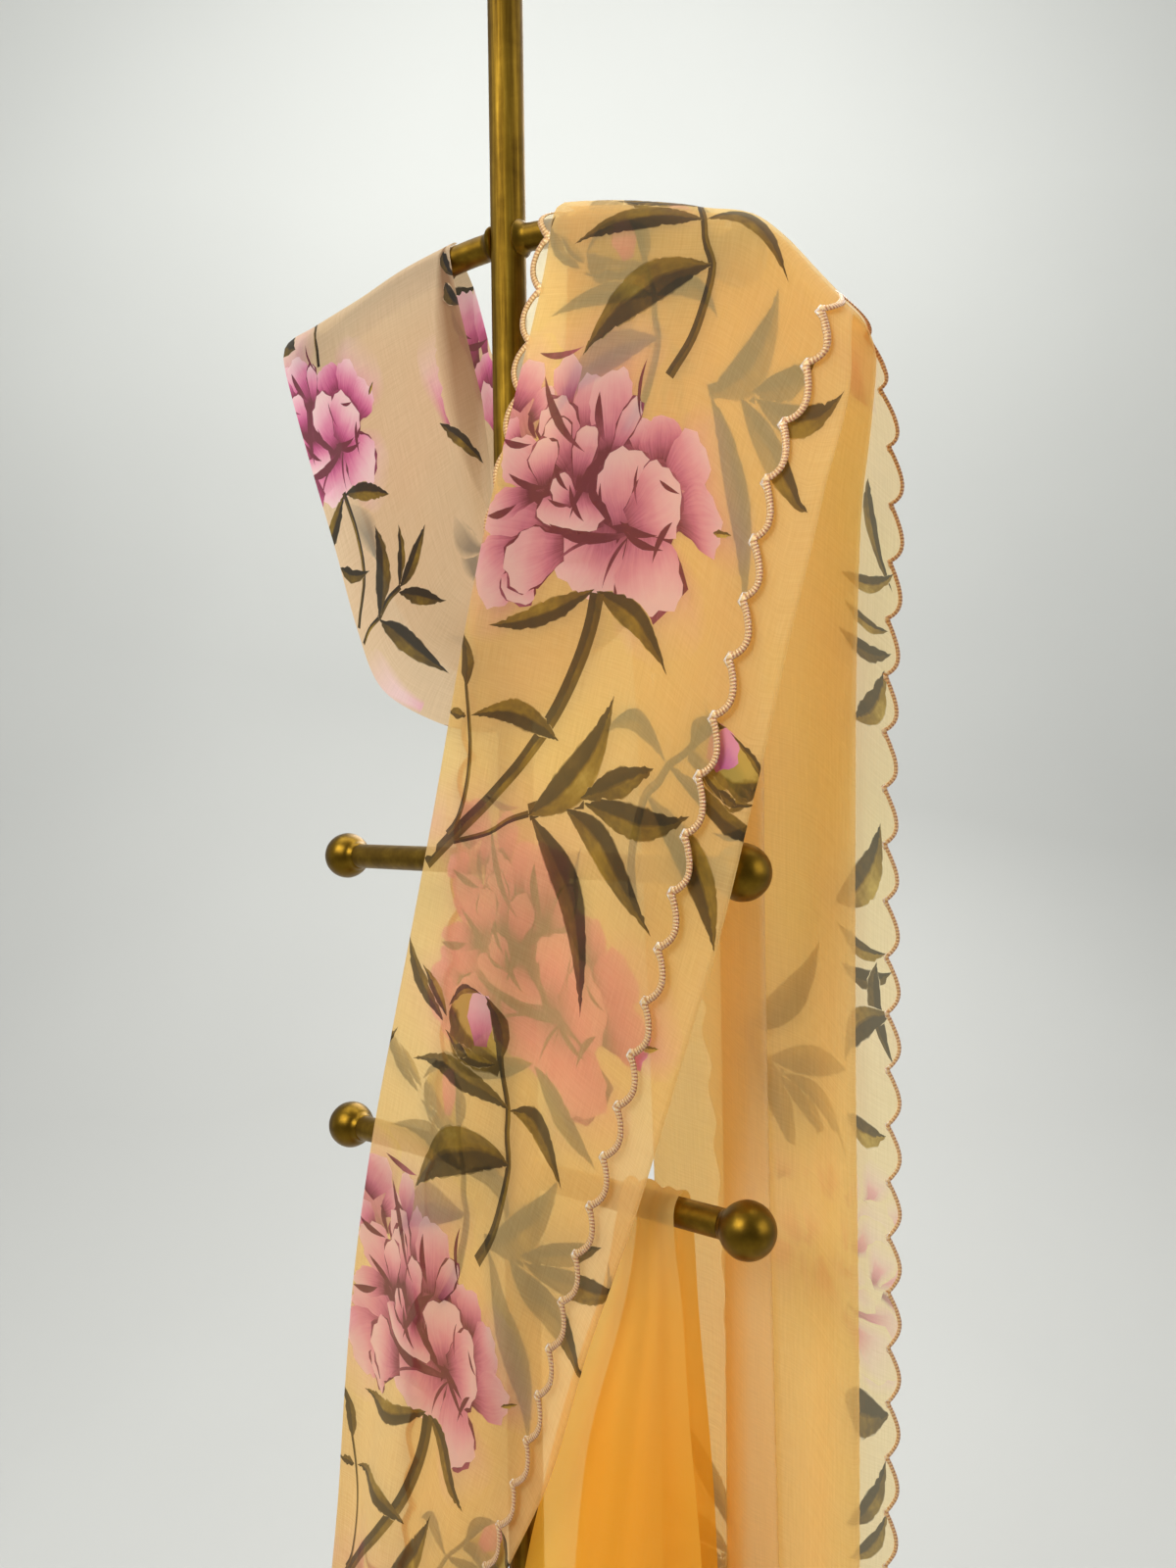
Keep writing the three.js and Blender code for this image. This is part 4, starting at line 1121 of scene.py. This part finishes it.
print("saree: printed shapes")
palluPrint = {
    "repeat": 582,
    # one repeat of the border in front: motif, across, along
    "front": [
        (peony, 120, 200), (calyx, 120, 200), (flowerStem, 120, 200),
        (leafCluster, 137, 411), (bud, 142, 562),
    ],
    # the layers inside and the cloth behind: motif, across, along, size across, size along, flip
    "single": [
        (bud, 142, -8, 1, 0.9, 1), (bud, 307, 46, 0.78, 0.8, -1), (leafCluster, 399, 131, 0.66, 0.95, -1),
        (bud, 460, 307, 0.75, 0.75, 1), (peony, 376, 499, 0.96, 1.0, -1), (calyx, 376, 499, 0.96, 1.0, -1),
        (bud, 307, 628, 0.8, 0.9, -1), (leafCluster, 372, 700, 1, 1, -1), (bud, 460, 889, 0.8, 0.8, 1),
        (peony, 389, 1081, 1, 1, -1), (leafCluster, 372, 1290, 1, 1, -1),
        (leafCluster, 140, -540, 0.8, 0.8, 1), (leafCluster, 150, -910, 0.8, 0.8, -1),
        (bud, 150, -1080, 1, 1, 1), (peony, 150, -1240, 0.9, 0.9, 1),
    ],
}
# leaves along the selvedge behind: across, along, to across, to along, width, tone
behindLeaves = [
    (24, -142, 4, -198, 11, -0.15), (46, -217, 4, -186, 10, 0.25), (47, -253, 3, -236, 12, -0.4),
    (42, -232, 6, -224, 9, 0.2), (33, -300, 8, -250, 16, 0.3), (54, -428, 10, -349, 20, 0.3),
    (47, -462, 3, -440, 12, -0.4), (52, -440, 6, -430, 12, 0.2), (14, -440, 2, -500, 12, -0.35),
    (4, -468, 44, -522, 17, 0.15), (42, -552, 8, -548, 18, 0.35), (44, -730, 6, -728, 34, -0.1),
    (40, -812, 8, -758, 14, -0.2), (36, -832, 6, -792, 12, 0.1),
]


def palluShapes():
    shapes, repeat = [], palluPrint["repeat"]
    for motif, across, along in palluPrint["front"]:
        for step in (0, 1, 2):
            if along + step * repeat < palluFront["hang"]:
                shapes += placed(motif(), across, along + step * repeat)
    for motif, across, along, wide, long, flip in palluPrint["single"]:
        shapes += placed(motif(), across, along, 0, (wide, long), flip)
    # behind, the flower and its wash by the selvedge are paler
    faint = [petalShape(26, -96, 170, 70, 62, 0.3)]
    faint += [shape for shape in placed(peony(), 78, -640, 180, 0.9) if shape["kind"] == "petal"]
    shapes += [ofKind("wash", {**shape, "tone": shape["tone"] + 0.3}) for shape in faint]
    return shapes + [leafShape(*leaf) for leaf in behindLeaves]


# cloth pieces: the flat cut with its printed shapes, then hung

def denseLine(start, end, step):
    count = max(2, int(np.linalg.norm(np.subtract(end, start)) / step) + 1)
    return np.linspace(start, end, count)


def insideLoop(loop, points):
    x, y = points[:, 0][:, None], points[:, 1][:, None]
    fromX, fromY = loop[:, 0], loop[:, 1]
    toX, toY = np.roll(fromX, -1), np.roll(fromY, -1)
    spans = (fromY > y) != (toY > y)
    with np.errstate(divide="ignore", invalid="ignore"):
        crossing = x < (toX - fromX) * (y - fromY) / (toY - fromY) + fromX
    return (spans & crossing).sum(axis=1) % 2 == 1


def topShapes(loops, points):
    # for each point, the last shape that holds it, counted from 1, or 0
    order = np.argsort(points[:, 1])
    heights, top = points[order, 1], np.zeros(len(points), int)
    for index, loop in enumerate(loops, 1):
        low, high = loop.min(axis=0), loop.max(axis=0)
        near = order[np.searchsorted(heights, low[1]):np.searchsorted(heights, high[1])]
        near = near[(points[near, 0] > low[0]) & (points[near, 0] < high[0])]
        top[near[insideLoop(loop, points[near])]] = index
    return top


def clothMesh(name, cloth, border, shapes, material, step, columns=(), rows=()):
    # border: the closed flat outline; columns and rows: flat places where the cloth folds sharply
    rng = np.random.default_rng(len(shapes) + 7)
    points, edges, faces = [], [], []

    def addLine(line, closed=False):
        ids = list(range(len(points), len(points) + len(line)))
        points.extend(tuple(p) for p in line)
        edges.extend(zip(ids, ids[1:] + ids[:1] if closed else ids[1:]))
        return ids
    faces.append(addLine(border, True))
    low, high = border.min(axis=0), border.max(axis=0)
    loops = [outlineOf(shape, rng) for shape in shapes]
    for loop in loops:
        addLine(loop, True)
    for place in columns:
        addLine(denseLine((place, low[1] - 1), (place, high[1] + 1), 7))
    for x in np.arange(low[0] + step / 2, high[0], step):
        for k, y in enumerate(np.arange(low[1] + step / 2, high[1], step)):
            shift = step / 4 * (1 if k % 2 else -1)
            points.append((x + shift, y))
    for y in rows:
        for x in np.arange(low[0] + 1, high[0], step):
            points.append((x, y))
    verts, _, tris, _, _, owners = delaunay_2d_cdt([Vector(p) for p in points], edges, faces, 0, 1e-4, True)
    kept = [tri for tri, owner in zip(tris, owners) if 0 in owner]
    used, corners = np.unique(np.array(kept), return_inverse=True)
    corners = corners.ravel()
    flat = np.array([verts[v][:] for v in used])
    triangles = corners.reshape(-1, 3)
    tops = topShapes(loops, flat[triangles].mean(axis=1))
    piece = newPiece(name, onCloth(cloth, flat) * mm, triangles.tolist(), material)
    owner = np.repeat(tops, 3)
    place, kind = np.zeros((len(corners), 3)), np.zeros((len(corners), 3))
    for index in np.unique(owner):
        if index == 0:
            continue
        shape, mine = shapes[index - 1], owner == index
        along, across = insidePlaces(shape, flat[corners[mine]])
        seed = (index * 0.37) % 9
        if shape["kind"] == "gap":
            along = along * 0.25
        if shape["kind"] in ("wash", "shade"):
            seed = -1 - seed
        place[mine] = np.stack([along, across, np.full(len(along), seed)], 1)
        petal = 1.0 if shape["kind"] in ("petal", "gap", "wash") else 0.0
        kind[mine] = (petal, 1 - petal, shape["tone"])
    mesh = piece.data
    for label, values in (("printPlace", place), ("printKind", kind)):
        layer = mesh.attributes.new(label, "FLOAT_VECTOR", "CORNER")
        layer.data.foreach_set("vector", values.astype(np.float32).ravel())
    uv = mesh.uv_layers.new(name="flat")
    uv.data.foreach_set("uv", (flat[corners] * mm).astype(np.float32).ravel())
    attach(piece, "root")
    return piece


# the cord is slimmer behind, up to where it comes over the arm
edging = {
    "pitch": 36.0, "depth": 8.0, "width": 4.6, "thick": 1.2, "notch": 2.6, "notchWidth": 2.4,
    "slim": 0.55, "slimUntil": -60, "slimFade": 40, "sides": 8, "spacing": 1.5,
}


def scallopLine(side, along):
    # the scalloped selvedge: arcs bulge outwards, cusps point in; side -1 is outer, 1 is inner
    place = 0.0 if side < 0 else bandEdges()[-1]
    swell = 1 - (2 * ((along / edging["pitch"]) % 1) - 1) ** 2
    return place + side * edging["depth"] * (swell - 0.75)


def palluBorder():
    low, high = -palluBack["hang"], palluFront["hang"]
    along = np.arange(low, high + 1, 3.0)
    along[-1] = high
    outer = np.stack([scallopLine(-1, along), along], 1)
    inner = np.stack([scallopLine(1, along), along], 1)
    top = denseLine(outer[-1], inner[-1], 6)[1:-1]
    bottom = denseLine(inner[0], outer[0], 6)[1:-1]
    return np.concatenate([outer, top, inner[::-1], bottom])[::-1]


def boxBorder(low, high, step):
    corners = [(low[0], low[1]), (high[0], low[1]), (high[0], high[1]), (low[0], high[1])]
    sides = [denseLine(corners[i], corners[(i + 1) % 4], step)[:-1] for i in range(4)]
    return np.concatenate(sides)


def edgingMesh(name, cloth, side, lowEnd, highEnd, material):
    # a satin-stitched cord along the scallops, with a small pointed stitch at each cusp
    along = np.arange(lowEnd, highEnd, edging["spacing"])
    flat = np.stack([scallopLine(side, along), along], 1)
    centres = onCloth(cloth, flat)
    inner = onCloth(cloth, flat - np.array([side * 2.0, 0]))
    way = unit(np.gradient(centres, axis=0))
    wide = unit(np.cross(np.cross(way, unit(inner - centres)), way))
    thick = np.cross(way, wide)
    phase = np.abs(((along / edging["pitch"]) + 0.5) % 1 - 0.5) * edging["pitch"]
    notch = edging["notch"] * np.clip(1 - phase / edging["notchWidth"], 0, 1)
    slim = mixValues(edging["slim"], 1, smoothStep((along - edging["slimUntil"]) / edging["slimFade"]))
    sides, vertices, uvs = edging["sides"], [], []
    travelled = np.concatenate(([0], np.cumsum(np.linalg.norm(np.diff(centres, axis=0), axis=1))))
    for i, centre in enumerate(centres):
        for k in range(sides):
            turn = 2 * math.pi * k / sides
            reach = edging["width"] / 2 * math.cos(turn)
            if reach > 0:
                reach += notch[i] * math.cos(turn)
            lift = edging["thick"] / 2 * math.sin(turn)
            vertices.append(centre + wide[i] * slim[i] * (reach + edging["width"] * 0.3) + thick[i] * lift)
            uvs.append((0.003 + reach * mm, travelled[i] * mm))
    faces = ringFaces(len(centres), sides)
    piece = newPiece(name, np.array(vertices) * mm, faces, material)
    layer = piece.data.uv_layers.new(name="flat")
    corners = [v for face in faces for v in face]
    layer.data.foreach_set("uv", np.array([uvs[v] for v in corners], np.float32).ravel())
    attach(piece, "root")
    return piece


def addPallu():
    firstFold, _, secondFold, innerStart, innerEnd = bandEdges()
    parts = np.linspace(-0.5, 0.5, 5)
    folds = [place + band["fold"] * (0.5 + part) for place in (firstFold, secondFold) for part in parts]
    for share in tuck["shares"]:
        folds += [innerStart + band["inner"] * (share + tuck["turn"] * part) for part in parts]
    rows = [-45, -36, -28, -21, -14, -7, 0, 7, 14, 21, 28, 36, 45]
    pallu = clothMesh("pallu", palluShape, palluBorder(), palluShapes(), printedPallu, 8.0, folds, rows)
    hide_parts("pallu_front", "pallu_back")
    for label, side, low, material in (
        ("outer", -1, 1 - palluBack["hang"], outerStitch), ("inner", 1, edging["slimUntil"], innerStitchInShade),
    ):
        edge = edgingMesh(label + "Edging", palluShape, side, low, palluFront["hang"] - 1, material)
    print("saree: pallu,", len(pallu.data.polygons), "faces")


def swagFrontShapes():
    # flat places straight on the cloth: x towards the pole, y down the swag
    return (
        placed(peony(), 23, 88, 0, (0.52, 0.82), -1) + placed(calyx(), 23, 88, 0, (0.52, 0.82), -1)
        + [
            ofKind("wash", petalShape(130, 150, -4, 80, 30, 0.7)),
            ofKind("wash", petalShape(6, 286, 0, 48, 26, 1.5)),
            # painted shade: a brown strip along the lower edge, and a wide one down the upper edge where it
            # curls away
            ofKind("shade", leafShape(0, 300, 6, 420, 16, 0.0, 0.0)),
            ofKind("shade", leafShape(150, 6, 146, 260, 40, 0.0, 0.0)),
            # a faint grey leaf ghost
            ofKind("shade", leafShape(36, 196, 20, 146, 20, 1.0, 0.1)),
            stemShape([(23, 140), (25, 173), (21, 201), (2, 222)], 3.4, 3),
            leafShape(0, 182, 28, 199, 9, -0.3),
            stemShape([(2, 232), (12, 229), (24, 229)], 2.5, 3),
            stemShape([(24, 229), (38, 224), (50, 224)], 4, 4),
            leafShape(24, 230, 42, 175, 15, -0.15, 0.12), leafShape(48, 224, 64, 187, 9, -0.1, 0.1),
            leafShape(49, 224, 90, 205, 13, -0.2, 0.08), leafShape(47, 226, 84, 265, 11, -0.3, -0.04),
            leafShape(24, 230, 38, 292, 16, -0.25, -0.14), leafShape(121, 143, 147, 195, 9, -0.25, -0.05),
            leafShape(-8, 2, 13, 20, 15, -0.3),
            stemShape([(17, 0), (30, 12), (32, 30), (30, 48)], 2, 2.6, -0.3),
            # faint grey leaf ghosts
            ofKind("shade", leafShape(108, 282, 120, 224, 22, 1.0, 0.1)),
            ofKind("shade", leafShape(130, 268, 116, 216, 18, 1.0, -0.1)),
            leafShape(150, 16, 158, 40, 8, -0.5), leafShape(149, 40, 158, 64, 10, -0.4),
        ]
        + placed(leafCluster(), 60, 470, 0, 0.8, 1)
    )


def swagBackShapes():
    return [
        leafShape(120, 4, 158, 22, 30, -0.55), leafShape(126, 36, 160, 44, 18, -0.5),
        petalShape(138, 118, 6, 78, 22, -0.05), petalShape(150, 122, 8, 80, 16, 0.2),
        petalShape(140, 160, 4, 44, 26, -0.4), petalShape(136, 190, 2, 52, 18, 0.1),
        ofKind("gap", leafShape(134, 90, 158, 110, 6, -0.8)),
        ofKind("gap", leafShape(134, 46, 142, 92, 5, -0.9)),
    ] + placed(leafCluster(), 60, 300, 0, 0.8, 1) + placed(bud(), 90, 440, 0, 0.7, -1)


def addSwags():
    for name, node, cloth, shapes in (
        ("swagFront", "swag_front", swagFrontShape, swagFrontShapes()),
        ("swagBack", "swag_back", swagBackShape, swagBackShapes()),
    ):
        high = (float(cloth["across"][-1]), float(cloth["along"][-1]))
        border = boxBorder((0, 0), high, 5)
        piece = clothMesh(name, cloth, border, shapes, printedSwag, 5.0)
        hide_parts(node)
        print("saree:", name + ",", len(piece.data.polygons), "faces")


def addBody():
    across, along, points = bodyShape["across"], bodyShape["along"], bodyShape["points"]
    high, wide = points.shape[:2]
    starts = [row * wide + column for row in range(high - 1) for column in range(wide - 1)]
    faces = [(v, v + 1, v + wide + 1, v + wide) for v in starts]
    piece = newPiece("bodyPleats", points.reshape(-1, 3) * mm, faces, plainBody)
    uv = piece.data.uv_layers.new(name="flat")
    flat = np.stack(np.meshgrid(across, along), -1).reshape(-1, 2) * mm
    corners = np.array([v for face in faces for v in face])
    uv.data.foreach_set("uv", flat[corners].astype(np.float32).ravel())
    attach(piece, "root")
    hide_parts("body_pleats")
    print("saree: body,", len(faces), "faces")


print("saree: cloth")
addSwags()
addPallu()
addBody()


# studio

studio = {
    "cameraAt": (0.051, -0.902, 1.214), "lens": 29.25, "roll": 0.014,
    # the paper's colours: painted shade low down, painted light up high
    "paperLowInShade": colourOf(192, 193, 190), "paperHighInLight": colourOf(238, 240, 236), "world": 0.7,
    # name, place, aims at, size, watts, colour
    "lights": [
        ("keyLight", (-1.5, -1.6, 2.7), (0, 0, 1.2), 1.4, 46, (1.0, 0.985, 0.96)),
        ("fillLight", (2.2, -1.2, 1.9), (0, 0, 1.2), 1.6, 20, (1.0, 0.99, 0.98)),
        ("backLight", (0.6, 1.9, 2.6), (0.05, 0, 1.1), 1.6, 34, (1.0, 0.99, 0.97)),
        ("wallLight", (0.0, 0.6, 3.6), (0, 3.3, 1.6), 2.4, 62, (1.0, 1.0, 0.99)),
    ],
}


def addCamera():
    camera = bpy.data.objects.new("camera", bpy.data.cameras.new("camera"))
    camera.data.lens, camera.data.sensor_width = studio["lens"], 36
    camera.location = studio["cameraAt"]
    camera.rotation_euler = (math.pi / 2, studio["roll"], 0)
    camera.data.clip_start, camera.data.clip_end = 0.05, 60
    bpy.context.scene.collection.objects.link(camera)
    bpy.context.scene.camera = camera


def addStudio():
    scene = bpy.context.scene
    scene.view_settings.view_transform = "Standard"
    material, tree = newMaterial("studio paper")
    place = addNode(tree, "ShaderNodeTexCoord").outputs["Object"]
    # painted shade and light: the paper is painted darker low down and lighter up high, for how the lamps
    # fall on it, with cloudy noise in the level
    height = addNode(tree, "ShaderNodeSeparateXYZ", {0: place}).outputs[2]
    cloudy = mathNode(tree, "MULTIPLY", noiseNode(tree, place, 0.8, 2.0, 0.5), 0.3)
    level = mathNode(tree, "ADD", rangeNode(tree, height, 0.4, 3.2), cloudy)
    colour = mixColour(tree, rangeNode(tree, level, 0.15, 1.15), studio["paperLowInShade"], studio["paperHighInLight"])
    shader = addNode(tree, "ShaderNodeBsdfPrincipled", {"Base Color": colour, "Roughness": 0.9})
    addNode(tree, "ShaderNodeOutputMaterial", {0: shader.outputs[0]})
    # a paper sweep: flat under the stand, then curving up a long way behind it
    start, radius, wallHeight = 0.9, 2.4, 5.5
    profile = [(-4.0, 0.0), (start, 0.0)]
    for turn in np.linspace(0, math.pi / 2, 24)[1:]:
        profile.append((start + radius * math.sin(turn), radius - radius * math.cos(turn)))
    profile.append((start + radius, wallHeight))
    vertices = [(x, y, z) for y, z in profile for x in (-6.0, 6.0)]
    faces = [(2 * i, 2 * i + 1, 2 * i + 3, 2 * i + 2) for i in range(len(profile) - 1)]
    sweep = newPiece("studioPaper", vertices, faces, material)
    for name, place, aim, size, watts, colour in studio["lights"]:
        light = bpy.data.objects.new(name, bpy.data.lights.new(name, "AREA"))
        light.data.size, light.data.energy, light.data.color = size, watts, colour
        light.location = place
        light.rotation_euler = (Vector(aim) - Vector(place)).to_track_quat("-Z", "Y").to_euler()
        scene.collection.objects.link(light)
    world = bpy.data.worlds.new("studio")
    world.use_nodes = True
    # the room is dim behind the camera, so the brass has something dark to mirror
    tree = world.node_tree
    ray = addNode(tree, "ShaderNodeLightPath").outputs["Is Camera Ray"]
    way = addNode(tree, "ShaderNodeTexCoord").outputs["Generated"]
    toBack = addNode(tree, "ShaderNodeSeparateXYZ", {0: way}).outputs[1]
    glow = rangeNode(tree, toBack, -0.9, 0.1, 0.22, 1.0)
    background = tree.nodes["Background"]
    background.inputs["Color"].default_value = (0.84, 0.85, 0.84, 1)
    strength = mathNode(tree, "MULTIPLY", mathNode(tree, "MAXIMUM", ray, glow), studio["world"])
    tree.links.new(strength, background.inputs["Strength"])
    scene.world = world


print("saree: studio")
addStudio()
addCamera()
